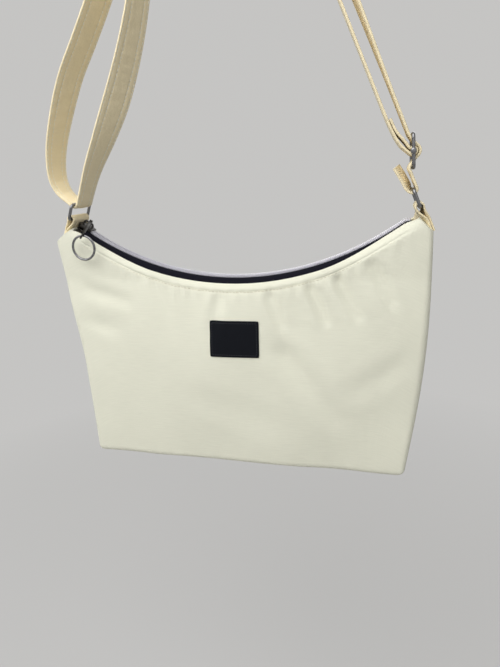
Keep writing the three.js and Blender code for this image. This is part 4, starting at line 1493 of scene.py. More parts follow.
@dataclass
class Zip:
    """The zip along the mouth: tapes, coils, slider and pull."""

    form: BagForm
    finishes: Finishes
    repeater: Repeater
    stitch: Object
    coil: Object
    half_angle: float = math.asin((155.0 - 12.2) / 243.0)
    slider_rest: float = math.asin((155.0 - 14.7) / 241.0)
    slider_half: float = 2.6
    coil_pitch: float = 1.42
    coil_middle: float = 4.0
    coil_foot: float = 2.62
    coil_size: Triple = (1.0, 1.1, 1.4)
    tape_end: float = math.asin(146.8 / 241.0)
    tape_cloth: float = 0.7
    tape_room: float = 0.6
    tape_section: tuple[Spot, ...] = (
        (1.5, 2.5), (1.8, 2.62), (3.0, 2.62), (4.6, 2.55), (6.4, 2.2),
        (8.0, 1.2), (9.4, 0.0), (10.6, -1.3), (11.8, -2.6), (12.9, -3.8),
    )
    tape_ripple: float = 0.14
    end_droop: float = 9.0
    droop_edge: Spot = (137.0, 12.5)
    seam_across: float = 3.6
    seam_foot: float = 2.66
    seam_pitch: float = 2.2
    seam_size: Triple = (1.6, 0.4, 0.4)
    pull_wire: float = 1.0

    def at(self, angle: Array, y: Array | float, above: Array | float) -> Array:
        """Points on the mouth's curve.

        Args:
            angle: Angles from the curve's lowest point.
            y: Places deep.
            above: Distances above the hem.

        Returns:
            Points in the bag's millimetres.
        """
        form = self.form
        droop = self.end_droop * rise(form.mouth_radius * np.abs(np.sin(angle)), *self.droop_edge)
        radius = form.mouth_radius - above
        z = form.mouth_centre - droop - radius * np.cos(angle)
        return np.stack([radius * np.sin(angle), y + 0 * angle, z], axis=-1)

    def tape(self, side: Side) -> Object:
        """One woven tape, flat under the coil and tucked under the hem.

        Args:
            side: Front or back.

        Returns:
            The dressed piece.
        """
        across, above = np.array(self.tape_section).T
        angle = np.linspace(-self.tape_end, self.tape_end, 156)
        aa, yy = np.meshgrid(angle, across, indexing="ij")
        sag = self.tape_ripple * np.sin(aa * 75) * np.clip((yy - 5) / 5, 0, 1)
        points = self.at(aa, side.value * yy, above + sag)
        room = self.form.hem_inside(points[..., 0], points[..., 2], side) - self.tape_room
        points[..., 1] = side.value * np.minimum(yy, room)
        uv = np.stack([yy, aa * self.form.mouth_radius], axis=2) * MM
        item = grid_object(f"zip_tape_{side.word}_cloth", row_frame(points), uv, side is Side.FRONT)
        return dressed(thickened(item, self.tape_cloth), self.finishes.tape, 60.0)

    def row_of_coil(self, side: Side) -> Object:
        """One row of coil turns along the tape's edge, half a pitch from the other row.

        Args:
            side: Front or back.

        Returns:
            The row.
        """
        radius = self.form.mouth_radius - self.coil_middle
        start = -self.slider_rest + self.slider_half / radius
        first = 1.0 if side is Side.BACK else 0.5
        count = int((self.half_angle - start) * radius / self.coil_pitch)
        angle = start + (np.arange(count) + first) * self.coil_pitch / radius
        angle = angle[angle < self.half_angle]
        points = row_frame(self.at(angle, 0.0, self.coil_foot))
        run = np.gradient(points, axis=0)
        run /= np.linalg.norm(run, axis=1, keepdims=True)
        up = np.stack([-run[:, 2], run[:, 1], run[:, 0]], axis=1)
        places = Places(points, run * -side.value, up)
        name = f"zip_coil_{side.word}_row"
        return self.repeater.copies(name, places, self.coil, self.coil_size, self.finishes.coil)

    def tape_stitches(self, side: Side) -> Object:
        """The fine stitches that hold the coil to its tape.

        Args:
            side: Front or back.

        Returns:
            The stitches.
        """
        angle = np.linspace(-self.slider_rest + 0.03, self.half_angle, 300)
        line = row_frame(self.at(angle, side.value * self.seam_across, self.seam_foot))
        face = np.stack([-np.sin(angle), np.zeros(len(angle)), np.cos(angle)], axis=1)
        places = Places.along(line, face, self.seam_pitch)
        name = f"zip_stitches_{side.word}"
        return self.repeater.copies(name, places, self.stitch, self.seam_size, self.finishes.black_thread)

    def softened(self, node: str, name: str, width: float) -> Object:
        """A copy of a solid with its edges rounded off, as a cast piece has.

        Args:
            node: The solid's name.
            name: The piece's name.
            width: The bevel's width in millimetres.

        Returns:
            The dressed piece.
        """
        mesh = bpy.data.objects[node].data.copy()
        with edited(mesh) as build:
            bmesh.ops.remove_doubles(build, verts=build.verts, dist=SPECK)
            flat = math.radians(2)
            bmesh.ops.dissolve_limit(build, angle_limit=flat, verts=build.verts, edges=build.edges)
        item = new_object(name, mesh)
        edge = item.modifiers.new("edge", "BEVEL")
        edge.width = width * MM
        edge.segments = 2
        edge.limit_method = "ANGLE"
        edge.angle_limit = math.radians(38)
        return dressed(applied(item), self.finishes.black_nickel, 50.0)

    def pull_ring(self) -> Object:
        """The round ring of wire on the pull.

        Returns:
            The dressed piece.
        """
        low, high = (np.array(corner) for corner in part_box("pull_ring"))
        wire = self.pull_wire * MM
        radius = (high[0] - low[0]) / 2 - wire
        turns = np.linspace(0, FULL_TURN, 72, endpoint=False)
        sides = np.linspace(0, FULL_TURN, 14, endpoint=False)
        tt, ss = np.meshgrid(turns, sides, indexing="ij")
        reach = radius + wire * np.cos(ss)
        points = np.stack([reach * np.cos(tt), wire * np.sin(ss), reach * np.sin(tt)], axis=2)
        ring = np.concatenate([points, points[:1]]) + (low + high) / 2
        around = np.vstack([tt, tt[:1] + FULL_TURN]) * radius
        uv = np.stack([around, np.vstack([ss, ss[:1]]) * wire], axis=2)
        item = grid_object("pull_ring_wire", ring, uv, False, wrap=True)
        return dressed(item, self.finishes.gunmetal, 80.0)

    def build(self) -> None:
        """Makes the zip and fastens it to its bodies."""
        tape = fix(self.tape(Side.FRONT), "bag", "zip_tape", "zip_tape_front")
        fix(self.row_of_coil(Side.FRONT), "bag", "zip_coil", "zip_coil_front")
        rows = fix(self.tape_stitches(Side.FRONT), "bag", "zip_tape")
        cloth = {"flat": (0.013, 0.158), "held": "stretched", "rests_on": ["back_panel"]}
        fix_lip(self.tape(Side.BACK), "zip_tape", ("zip_tape_back",), **cloth)
        fix_lip(self.row_of_coil(Side.BACK), "zip_coil", ("zip_coil_back",))
        fix_lip(self.tape_stitches(Side.BACK), "zip_tape", ())
        fix(self.softened("zip_slider", "slider_casting", 0.22), "slider", "gunmetal", "zip_slider")
        fix(self.softened("pull_link", "pull_link_casting", 0.18), "pull_link", "gunmetal", "pull_link")
        fix(self.pull_ring(), "pull_ring", "gunmetal", "pull_ring")


# Strap


# Rows of stitches, as shares of half the strap's width
OUTER_ROW = 0.885
INNER_ROW = 0.53
STITCH_ROWS = (-OUTER_ROW, -INNER_ROW, INNER_ROW, OUTER_ROW)


@dataclass
class Ribbon:
    """A strip of folded canvas along a line: points, the way across it and the way its outer face looks."""

    points: Array
    across: Array
    face: Array
    width: float
    thickness: float
    outer_groove: Spot = (0.4, 0.03)
    inner_groove: Spot = (0.42, 0.035)
    crown: float = 0.06
    edge_slim: float = 0.86
    edge_half: float = 0.35
    ripple: float = 0.3
    seam_sink: float = 0.24
    marks: tuple[float, ...] = (0.06, 0.25, 0.42, 0.49, 0.53, 0.57, 0.66, 0.79, 0.845, 0.885, 0.925, 0.97)

    @staticmethod
    def along(line: Array, width: float, thickness: float, twist: Array | float = 0.0) -> Ribbon:
        """Sets a ribbon on a line in the XZ plane, in the row frame's millimetres.

        Args:
            line: Points as x, z.
            width: The ribbon's width, along Y where it isn't twisted.
            thickness: The ribbon's thickness.
            twist: Degrees of turn about the line at each point.

        Returns:
            The ribbon.
        """
        points = np.stack([line[:, 0], np.zeros(len(line)), line[:, 1]], axis=1)
        run = np.gradient(points, axis=0)
        run /= np.linalg.norm(run, axis=1, keepdims=True)
        y = np.array([0.0, 1.0, 0.0])
        flat = np.cross(run, y)
        angle = np.radians(np.broadcast_to(twist, (len(line),)))[:, None]
        across = y * np.cos(angle) + flat * np.sin(angle)
        face = flat * np.cos(angle) - y * np.sin(angle)
        return Ribbon(points, across, face, width, thickness)

    def section(self) -> Array:
        """The outline across the ribbon: soft edges, a low crown and a groove under each stitch row.

        Returns:
            The outline's points, across and out.
        """
        w, t = self.width / 2, self.thickness / 2
        (deep, wide), (inner_deep, inner_wide) = self.outer_groove, self.inner_groove
        top = []
        for x in [-m for m in reversed(self.marks)] + list(self.marks):
            groove = deep * bell(abs(x), OUTER_ROW, wide) + inner_deep * bell(abs(x), INNER_ROW, inner_wide)
            high = t * (1 - self.crown + self.crown * math.cos(x * math.pi / 2)) - groove
            top.append((x * w, high * (self.edge_slim if abs(x) > 0.95 else 1.0)))
        bottom = [(x, -z) for x, z in reversed(top)]
        lip = self.edge_half * t
        return np.array(top + [(w, lip), (w, -lip)] + bottom + [(-w, -lip), (-w, lip)])

    def piece(self, name: str, finish: Material) -> Object:
        """Makes the ribbon's closed mesh.

        Args:
            name: The piece's name.
            finish: Its material.

        Returns:
            The dressed piece.
        """
        outline = self.section()
        lengths = lengths_along(self.points)
        middle = np.clip(1 - (outline[:, 0] / (0.5 * self.width / 2)) ** 2, 0, 1)
        wave = self.ripple * np.sin(lengths * 0.57 + 1.4 * np.sin(lengths * 0.11))
        rings = (
            self.points[:, None, :]
            + self.across[:, None, :] * outline[None, :, :1]
            + self.face[:, None, :] * outline[None, :, 1:]
            + self.face[:, None, :] * (wave[:, None] * middle[None, :])[..., None]
        )
        uv = np.stack(np.meshgrid(lengths_along(outline), lengths), axis=2) * MM
        item = grid_object(name, rings * MM, uv, True, wrap=True)
        with edited(item.data) as build:
            close_holes(build)
            bmesh.ops.recalc_face_normals(build, faces=build.faces)
        return dressed(item, finish, 60.0)

    def stitch_rows(self, pitch: float) -> Places:
        """Places for the rows of stitches on both faces.

        Args:
            pitch: The distance between stitches in millimetres.

        Returns:
            The places.
        """
        found = []
        for row in STITCH_ROWS:
            for look in (-1, 1):
                lift = (self.thickness / 2 - self.seam_sink) * look
                line = self.points + self.across * (row * self.width / 2) + self.face * lift
                found.append(Places.along(line * MM, self.face * look, pitch))
        return Places.gathered(found)


@dataclass
class StrapRoute:
    """The strap's route in the row frame's millimetres, the same as the solids' route."""

    strap_width: float = 25.0
    thickness: float = 2.0
    gap: float = 0.3
    wire: float = 1.3
    saddle: float = 30.0
    layer_gap: float = 0.5
    run_spread: float = 10.0
    buckle_pitch: float = 11.5
    buckle_tilt: float = math.radians(20)
    buckle_rise: float = 25.0
    fold_length: float = 30.0
    flap_length: float = 20.0
    lead: float = 3.0
    split_share: float = 0.767
    bar: Spot = (140.03546, -300.93048)
    ring_turn: Triple = (math.radians(200), math.radians(332), math.radians(338))
    outer_bow: tuple[Spot, ...] = (
        (0.013, 17), (0.04, 25), (0.079, 29.5), (0.13, 32), (0.216, 32), (0.32, 29), (0.42, 22),
        (0.53, 15), (0.8, 3.5),
    )
    inner_bow: tuple[Spot, ...] = (
        (0.1, -4.6), (0.2, -9.6), (0.31, -14.2), (0.44, -16.2), (0.56, -14.6), (0.78, -5.4),
    )

    def __post_init__(self) -> None:
        """Works out the bends, the lean and the buckle's place."""
        self.inner_saddle = self.saddle + self.thickness / 2
        self.outer_saddle = self.inner_saddle + self.thickness + self.layer_gap
        self.loop = self.wire + 0.4 + self.thickness / 2
        self.centre = (0.0, -self.saddle)
        self.left_bar = (-self.bar[0], self.bar[1])
        offset = self.wire + self.gap + self.thickness / 2 + 0.2
        self.weave_radius = self.wire + 2 * self.gap + 1.5 * self.thickness
        self.centre_loop = self.wire + self.gap + self.thickness / 2
        self.weave_top, self.outer_out = self.tilted(self.buckle_pitch, -offset)
        self.weave_low, self.below_out = self.tilted(-self.buckle_pitch, -offset)
        self.inner_out = self.outer_out - self.run_spread
        self.bar_out = self.below_out - self.loop
        self.right_lean = self.lean_to(self.bar, self.outer_out - self.bar_out, self.outer_saddle)
        self.up = np.array([-math.sin(self.right_lean), math.cos(self.right_lean)])
        self.out = np.array([math.cos(self.right_lean), math.sin(self.right_lean)])
        self.buckle = np.array(self.bar) + self.up * self.buckle_rise - self.out * self.bar_out
        self.split = self.split_share * float((np.array(self.centre) - self.buckle) @ self.up)

    def tilted(self, along: float, out: float) -> Spot:
        """Turns a place in the buckle's own frame into one along the strap."""
        c, s = math.cos(self.buckle_tilt), math.sin(self.buckle_tilt)
        return along * c - out * s, along * s + out * c

    def lean_to(self, bar: Spot, inside: float, saddle: float) -> float:
        """Lean of the line that touches the saddle and passes a bar at a distance inside it."""
        x, z = abs(bar[0]), -self.saddle - bar[1]
        return math.acos((saddle - inside) / math.hypot(x, z)) - math.atan2(z, x)

    def at_buckle(self, places: list[Spot] | Array) -> Array:
        """Places along and out of the strap at the buckle, as x and z."""
        given = np.asarray(places, float)
        return self.buckle + given[:, :1] * self.up + given[:, 1:] * self.out

    def spot(self, along: float, out: float) -> Triple:
        """One place along and out of the strap at the buckle, as a point in metres."""
        x, z = self.at_buckle([(along, out)])[0] * MM
        return x, 0.0, z

    def left_line(self, bows: tuple[Spot, ...], saddle: float) -> tuple[float, list[Spot]]:
        """The bowed line from the left ring's bar up to the saddle.

        Args:
            bows: Shares of the way up, and how far out of the straight line.
            saddle: The radius of the bend at the top.

        Returns:
            The lean where the line meets the bend, and the line's points.
        """
        lean = self.lean_to(self.bar, 0.0, saddle)
        touch = np.array([-saddle * math.cos(lean), -self.saddle + saddle * math.sin(lean)])
        foot = np.array(self.left_bar)
        line = touch - foot
        side = np.array([-line[1], line[0]]) / np.linalg.norm(line)
        points = [tuple(foot + line * share + side * bow) for share, bow in bows]
        return lean, points + [tuple(touch)]

    def outer_run(self) -> Array:
        """From the right side over the top, down the left side and round the left ring.

        Returns:
            The line's points.
        """
        lean, points = self.left_line(self.outer_bow, self.outer_saddle)
        turn = arc(self.left_bar, self.loop, self.ring_turn[0], self.ring_turn[1], 14)
        return np.vstack([
            self.at_buckle([(self.split, self.outer_out)]),
            arc(self.centre, self.outer_saddle, self.right_lean, math.pi - lean, 28),
            spline([*reversed(points), tuple(turn[0])], 10)[1:-1],
            turn,
        ])

    def inner_run(self) -> Array:
        """From the left ring up inside the outer run, over the top and down to the right side.

        Returns:
            The line's points.
        """
        lean, points = self.left_line(self.inner_bow, self.inner_saddle)
        turn = arc(self.left_bar, self.loop, self.ring_turn[1], self.ring_turn[2], 1)
        end = self.at_buckle([(self.split, self.inner_out)])
        knee = self.at_buckle([(self.split + 2 * self.lead, self.inner_out)])
        right = self.lean_to(tuple(knee[0]), 0.0, self.inner_saddle)
        return np.vstack([
            turn[:1],
            spline([tuple(turn[1]), *points], 10)[:-1],
            arc(self.centre, self.inner_saddle, math.pi - lean, right, 28),
            knee,
            end,
        ])

    def end_a(self) -> tuple[Array, Array]:
        """The strap's first end, at the right ring.

        Returns:
            The single layer from the buckle to the ring, and the fold round the ring with its flap.
        """
        foot, long = -self.buckle_rise, self.flap_length
        turn = arc((foot, self.bar_out), self.loop, math.pi / 2, 1.5 * math.pi, 16)
        flap = self.bar_out - self.loop
        tail = spline([
            tuple(turn[-1]),
            (foot + long * 0.25, flap),
            (foot + long * 0.6, flap - 0.4 * self.thickness),
            (foot + long, flap - 1.1 * self.thickness),
        ], 6)[1:]
        straight = np.linspace((self.weave_low - self.lead, self.below_out), tuple(turn[0]), 24)
        return self.at_buckle(straight), self.at_buckle(np.vstack([turn, tail]))

    def weave(self) -> Array:
        """Behind both end bars of the buckle and over its centre bar.

        Returns:
            The line's points.
        """
        r = self.weave_radius
        angles = [math.radians(d) for d in (150, 120, 90, 60, 30)]
        over = [self.tilted(r * math.cos(a), r * math.sin(a)) for a in angles]
        line = spline([
            (self.weave_low - self.lead, self.below_out),
            (self.weave_low, self.below_out),
            *over,
            (self.weave_top, self.outer_out),
            (self.weave_top + self.lead, self.outer_out),
        ], 8)
        return self.at_buckle(line)

    def upright(self, start: float, out: float) -> Array:
        """A straight stretch from a place above the buckle up to where the runs begin."""
        return self.at_buckle(np.linspace((start + self.lead, out), (self.split, out), 60))

    def flat(self, line: Array) -> Spot:
        """The width and length in metres of a stretch along a line, laid flat."""
        return self.strap_width * MM, float(lengths_along(line)[-1]) * MM

    def end_b(self) -> Array:
        """Folded round the buckle's centre bar and sewn back onto itself.

        Returns:
            The line's points.
        """
        layer = self.thickness + self.gap
        long, out = self.fold_length, self.inner_out
        turn = arc((0.0, 0.0), self.centre_loop, math.radians(235), math.radians(-30), 22)
        down = spline([
            (long + self.lead, out),
            (long, out),
            (long * 0.6, out + 0.5),
            (long * 0.25, out * 0.75),
            (long * 0.08, out * 0.48),
            tuple(turn[0]),
        ], 6)[:-1]
        back = spline([
            tuple(turn[-1]),
            (long * 0.25, out * 0.75 + 1.7 * layer),
            (long * 0.6, out + 0.5 + layer),
            (long - self.lead, out + layer),
        ], 8)[1:]
        return self.at_buckle(np.vstack([down, turn, back]))


@dataclass
class Strap:
    """The long canvas strap, in the stretches that the buckle slides between."""

    route: StrapRoute
    finishes: Finishes
    repeater: Repeater
    stitch: Object
    pitch: float = 3.2
    stitch_size: Triple = (2.6, 0.8, 0.34)
    spacing: float = 2.6
    fine_spacing: float = 1.1
    travel: float = 150.0
    outer_twist: float = 16.0
    inner_twist: float = 31.0
    right_twist: float = 9.0
    flap_twist: float = 12.0
    left_start: Spot = (30.0, 70.0)
    ring_clear: Spot = (4.0, 95.0)
    right_start: Spot = (34.0, 20.0)
    flap_start: Spot = (0.34, 0.27)

    def ribbon(self, line: Array, twist: Array | float, spacing: float) -> Ribbon:
        """Sets strap canvas on a line.

        Args:
            line: The line's points.
            twist: Degrees of turn, the same all along or at points spaced evenly.
            spacing: The distance between the ribbon's points.

        Returns:
            The ribbon.
        """
        even = evenly(line, spacing)
        if not np.isscalar(twist):
            old = np.linspace(0, 1, len(twist))
            twist = np.interp(np.linspace(0, 1, len(even)), old, twist)
        return Ribbon.along(even, self.route.strap_width, self.route.thickness, twist)

    def twist_of(self, line: Array, most: float, right: float) -> Array:
        """Turns the left run part way to the front, and the right run a little.

        Args:
            line: The run's points.
            most: Degrees of turn on the left, apart from the ring and the bend at the top.
            right: Degrees of turn where the run meets the straight stretch on the right.

        Returns:
            Degrees at points spaced evenly along the run.
        """
        x, z = evenly(line, self.spacing).T
        left = rise(-x, *self.left_start)
        clear = rise(np.hypot(x + self.route.bar[0], z - self.route.bar[1]), *self.ring_clear)
        return most * left * clear + right * rise(x, *self.right_start)

    def sewn(self, name: str, ribbon: Ribbon, body: str) -> tuple[Object, Object]:
        """Makes one stretch with its rows of stitches, and fastens both to a body.

        Args:
            name: The stretch's name, and that of its solid.
            ribbon: Its ribbon.
            body: The body that carries it.

        Returns:
            The canvas piece and the stitches.
        """
        canvas = ribbon.piece(f"{name}_canvas", self.finishes.webbing)
        rows, thread = ribbon.stitch_rows(self.pitch), self.finishes.thread
        seams = self.repeater.copies(f"{name}_stitches", rows, self.stitch, self.stitch_size, thread)
        fix(canvas, body, "canvas", name)
        fix(seams, body, "canvas")
        return canvas, seams

    def runs(self) -> None:
        """The two long runs, over the top bend and down to the left ring."""
        outer, inner = self.route.outer_run(), self.route.inner_run()
        for name, line, twist in (
            ("strap_outer_run", outer, self.twist_of(outer, self.outer_twist, self.right_twist)),
            ("strap_inner_run", inner, self.twist_of(inner, -self.inner_twist, 0.0)),
        ):
            canvas, seams = self.sewn(name, self.ribbon(line, twist, self.spacing), "strap")
            flat = self.route.flat(line)

    def uprights(self) -> None:
        """The two straight stretches above the buckle, up to where the runs begin."""
        route = self.route
        for name, start, out, turn in (
            ("strap_right_outer", route.weave_top, route.outer_out, self.right_twist),
            ("strap_right_inner", route.fold_length, route.inner_out, 0.0),
        ):
            line = route.upright(start, out)
            flat = route.flat(line)
            twist = turn * eased(np.linspace(-0.1, 1.2, len(line)))
            canvas, seams = self.sewn(name, self.ribbon(line, twist, self.spacing), "strap")
            for item in (canvas, seams):
                route.spot(route.split, out)
                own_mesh(item)

    def at_the_buckle(self) -> None:
        """The stretch through the buckle, and the end that is sewn round its centre bar."""
        for name, line, held in (
            ("strap_weave", self.route.weave(), ["buckle_frame"]),
            ("strap_end_b", self.route.end_b(), ["buckle_centre_bar"]),
        ):
            canvas, seams = self.sewn(name, self.ribbon(line, 0.0, self.fine_spacing), "buckle")
            self.route.flat(line)

    def ring_end(self) -> None:
        """The single layer between the buckle and the right ring, and the fold with its flap."""
        route = self.route
        size = (route.strap_width, route.thickness)
        straight, fold = route.end_a()
        lead = Ribbon.along(straight, *size).piece("strap_end_a_canvas", self.finishes.webbing)
        low = route.spot(-route.buckle_rise + 1.0, route.below_out)
        high = route.spot(route.weave_low - route.lead + 0.2, route.below_out)
        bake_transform(lead)
        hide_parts("strap_end_a")
        LOG.info("%s stretches between the strap and the buckle", lead.name)
        twist = -self.flap_twist * rise(np.linspace(0, 1, len(fold)), *self.flap_start)
        flap = Ribbon.along(fold, *size, twist).piece("strap_end_a_flap", self.finishes.webbing)
        fix(flap, "strap", "canvas", "strap_end_a")
        for item, line, held in ((lead, straight, "hung"), (flap, fold, "folded")):
            route.flat(line)

    def build(self) -> None:
        """Makes every stretch and fastens it to its body."""
        self.runs()
        self.uprights()
        self.at_the_buckle()
        self.ring_end()


# Hardware and tabs


@dataclass
class Hardware:
    """Rings, buckle and the canvas tabs that hold the rings."""

    route: StrapRoute
    finishes: Finishes
    half_width: float = 14.8
    ring_pitch: float = 13.6
    corner: float = 3.0
    tab_lean: float = math.radians(22)
    tab_rise: float = 13.0
    tab_thickness: float = 1.6
    tab_tuck: float = 8.0
    tab_yaw: float = 24.0
    tab_shift: float = 2.0
    tab_foot: Spot = (150.0, 205.4064)
    collar_squash: float = 1.15
    collar: tuple[Spot, ...] = ((17.0, 1.0), (16.8, 1.7), (16.2, 2.0), (13.6, 2.0), (13.2, 1.7))

    def wire_rectangle(self, name: str, half_z: float, centre: Spot, lean: float) -> Object:
        """A rectangle of round wire, upright in its own YZ plane, then leaned and moved.

        Args:
            name: The piece's name.
            half_z: Half the distance between its bars.
            centre: Its middle as x and z in the row frame's millimetres.
            lean: Its turn about Y in radians.

        Returns:
            The dressed piece.
        """
        stations = []
        for sy, sz, start in ((1, 1, 0), (-1, 1, 90), (-1, -1, 180), (1, -1, 270)):
            for a in np.radians(start + np.linspace(0, 90, 9)):
                stations.append((sy * (self.half_width - self.corner), sz * (half_z - self.corner), a))
        stations.append(stations[0])
        sides = np.linspace(0, FULL_TURN, 14, endpoint=False)
        reach = self.corner + self.route.wire * np.cos(sides)
        side = self.route.wire * np.sin(sides)
        rings = [
            np.stack([side, y + reach * math.cos(a), z + reach * math.sin(a)], axis=1)
            for y, z, a in stations
        ]
        points = leaned(np.array(rings), lean, centre) * MM
        item = grid_object(name, points, np.zeros((*points.shape[:2], 2)), True, wrap=True)
        return dressed(item, self.finishes.gunmetal, 80.0)

    def centre_bar(self, lean: float) -> Object:
        """The buckle's centre bar, with a collar clinched round each side of the frame.

        Args:
            lean: The buckle's turn about Y in radians.

        Returns:
            The dressed piece.
        """
        wire = self.route.wire
        half = [*self.collar, (12.9, wire), (6.0, wire)]
        marks = [(-y, r) for y, r in half] + half[::-1]
        sides = np.linspace(0, FULL_TURN, 18, endpoint=False)
        rings = []
        for y, r in marks:
            tall = self.collar_squash if r > wire else 1.0
            rings.append([(r * math.cos(a), y, r * math.sin(a) * tall) for a in sides])
        points = leaned(np.array(rings), lean, tuple(self.route.buckle)) * MM
        return dressed(tube_object("buckle_bar_clinched", points), self.finishes.gunmetal, 50.0)

    def tab(self, end: End) -> None:
        """A folded canvas tab that loops through a ring and is sewn into the shoulder.

        Args:
            end: Left or right.
        """
        word, side = end.word, end.value
        half = self.tab_thickness / 2
        radius = self.route.wire + 0.8 + half
        foot = half + 0.1
        turn = arc((0.0, self.tab_rise), radius, math.radians(-15), math.radians(195), 16)
        up = spline([
            (foot, -self.tab_tuck),
            (foot, 0.0),
            (foot + 0.5, self.tab_rise * 0.35),
            tuple(turn[0]),
        ], 6)[:-1]
        line = np.vstack([up, turn, [(-x, z) for x, z in reversed(up)]])
        ribbon = Ribbon.along(line, self.route.strap_width, self.tab_thickness)
        sway = 1 - eased(line[:, 1] / (self.tab_rise - 1.5))
        angle = np.radians(side * self.tab_yaw * sway)
        c, s = np.cos(angle), np.sin(angle)

        def placed(v: Array, spot: Spot) -> Array:
            """Yaws points or directions along with the foot, leans them and moves them."""
            yawed = np.stack([v[:, 0] * c - v[:, 1] * s, v[:, 0] * s + v[:, 1] * c, v[:, 2]], axis=1)
            return leaned(yawed, -side * self.tab_lean, spot)

        ribbon.points = placed(ribbon.points, (side * self.tab_foot[0], self.tab_foot[1] - HANG_HEIGHT))
        ribbon.points[:, 0] -= side * self.tab_shift * sway
        ribbon.across = placed(ribbon.across, (0.0, 0.0))
        ribbon.face = placed(ribbon.face, (0.0, 0.0))
        canvas = ribbon.piece(f"{word}_tab_canvas", self.finishes.webbing)
        fix(canvas, "bag", "canvas", f"{word}_tab")
        self.route.flat(line)

    def build(self) -> None:
        """Makes the rings, the tabs and the buckle."""
        route, reach = self.route, self.tab_rise + self.ring_pitch / 2
        for end in End:
            word, side = end.word, end.value
            centre = (
                side * (self.tab_foot[0] - reach * math.sin(self.tab_lean)),
                self.tab_foot[1] - HANG_HEIGHT + reach * math.cos(self.tab_lean),
            )
            lean = -side * self.tab_lean
            ring = self.wire_rectangle(f"{word}_ring_wire", self.ring_pitch / 2, centre, lean)
            fix(ring, f"{word}_ring", "gunmetal", f"{word}_ring")
            self.tab(end)
        tilt = route.buckle_tilt - route.right_lean
        frame = self.wire_rectangle("buckle_wire", route.buckle_pitch, tuple(route.buckle), tilt)
        fix(frame, "buckle", "gunmetal", "buckle_frame")
        fix(self.centre_bar(tilt), "buckle", "gunmetal", "buckle_centre_bar")


# Studio


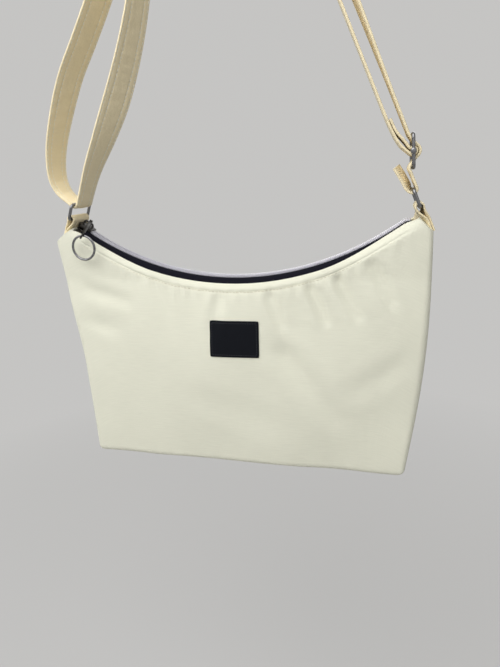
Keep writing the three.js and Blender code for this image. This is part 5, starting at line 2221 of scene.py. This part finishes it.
@dataclass
class Studio:
    """A pale floor far below the hanging bag, soft light from above and the photograph's camera."""

    eye: Triple = (116.3, -407.7, 245.9)
    yaw: float = -14.88
    pitch: float = -17.5
    roll: float = -3.16
    lens: float = 36.0
    floor_drop: float = 0.36
    floor_half: float = 6.0
    backdrop: Colour = (0.56, 0.555, 0.545)
    room_light: float = 0.26
    aim: Triple = (0.0, 0.0, -0.43)
    shadow_reach: float = 0.5
    shadow_fade: float = 1.2

    def camera(self) -> None:
        """Sets the camera where the photograph was taken from."""
        yaw, pitch, roll = (math.radians(a) for a in (self.yaw, self.pitch, self.roll))
        level = Vector((math.cos(yaw), -math.sin(yaw), 0.0))
        ahead = Vector((math.sin(yaw) * math.cos(pitch), math.cos(yaw) * math.cos(pitch), math.sin(pitch)))
        above = level.cross(ahead)
        right = level * math.cos(roll) + above * math.sin(roll)
        up = above * math.cos(roll) - level * math.sin(roll)
        data = bpy.data.cameras.new("photo_camera")
        data.sensor_fit = "HORIZONTAL"
        data.sensor_width = 36.0
        data.lens = self.lens
        data.clip_start = 0.01
        item = new_object("photo_camera", data)
        x, y, z = self.eye
        place = Matrix.Translation(Vector((x, y, z - HANG_HEIGHT)) * MM)
        item.matrix_world = place @ Matrix((right, up, -ahead)).transposed().to_4x4()
        bpy.context.scene.camera = item

    def lamp(self, name: str, place: Triple, size: float, power: float) -> None:
        """Adds a soft lamp that looks at the bag.

        Args:
            name: The lamp's name.
            place: Where it stands, in metres.
            size: Its width in metres.
            power: Its power in watts.
        """
        data = bpy.data.lights.new(name, "AREA")
        data.size = size
        data.energy = power
        item = new_object(name, data)
        item.location = place
        item.visible_camera = False
        item.rotation_euler = (Vector(self.aim) - Vector(place)).to_track_quat("-Z", "Y").to_euler()

    def floor(self) -> None:
        """Lays the pale floor, which shows the bag's shadow and goes over into the backdrop."""
        height, far = -HANG_HEIGHT * MM - self.floor_drop, self.floor_half
        mesh = bpy.data.meshes.new("floor")
        corners = [(x * far, y * far, height) for x, y in ((-1, -1), (1, -1), (1, 1), (-1, 1))]
        mesh.from_pydata(corners, [], [(0, 1, 2, 3)])
        item = new_object("floor", mesh)
        paint = Paint("pale_floor")
        paint.set(Roughness=0.9, Base_Color=(*self.backdrop, 1.0))
        glow = paint.node("ShaderNodeEmission")
        glow.inputs["Color"].default_value = (*self.backdrop, 1.0)
        reach = paint.node("ShaderNodeVectorMath", operation="LENGTH")
        paint.link(paint.node("ShaderNodeTexCoord").outputs["Object"], reach.inputs[0])
        past = paint.math("SUBTRACT", reach.outputs["Value"], self.shadow_reach)
        share = paint.times(paint.times(past, self.shadow_fade), paint.seen_rays())
        share.node.use_clamp = True
        paint.mix(share, paint.shader, glow, "Material Output")
        mesh.materials.append(paint.material)

    def room(self) -> None:
        """Sets the pale room: even light on the bag, and the backdrop's colour where it is seen."""
        world = bpy.data.worlds.new("pale_room")
        bpy.context.scene.world = world
        book = NodeBook(world)
        light = book.tree.nodes["Background"]
        light.inputs["Color"].default_value = (1.0, 1.0, 1.0, 1.0)
        light.inputs["Strength"].default_value = self.room_light
        pale = book.node("ShaderNodeBackground")
        pale.inputs["Color"].default_value = (*self.backdrop, 1.0)
        book.mix(book.seen_rays(), light, pale, "World Output")

    def build(self) -> None:
        """Sets the camera, the light and the floor."""
        self.camera()
        self.floor()
        self.lamp("sky_above", (-0.3, -0.5, 0.35), 1.2, 12.8)
        self.lamp("front_fill", (0.6, -1.3, 0.2), 1.3, 2.5)
        self.lamp("back_fill", (0.5, 1.4, 0.6), 1.3, 9.0)
        self.room()
        bpy.context.scene.view_settings.view_transform = "Standard"


def main() -> None:
    """Builds the bag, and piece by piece."""
    logging.basicConfig(level=logging.INFO, format="%(name)s: %(message)s")
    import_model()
    Studio().build()
    finishes = Finishes()
    repeater = Repeater()
    stitch = stitch_unit()
    coil = coil_unit()
    form = BagForm()
    route = StrapRoute()
    BagBody(form, finishes, repeater, stitch).build()
    Zip(form, finishes, repeater, stitch, coil).build()
    Strap(route, finishes, repeater, stitch).build()
    Hardware(route, finishes).build()
    for unit in (stitch, coil):
        bpy.data.objects.remove(unit)


if __name__ == "__main__":
    main()
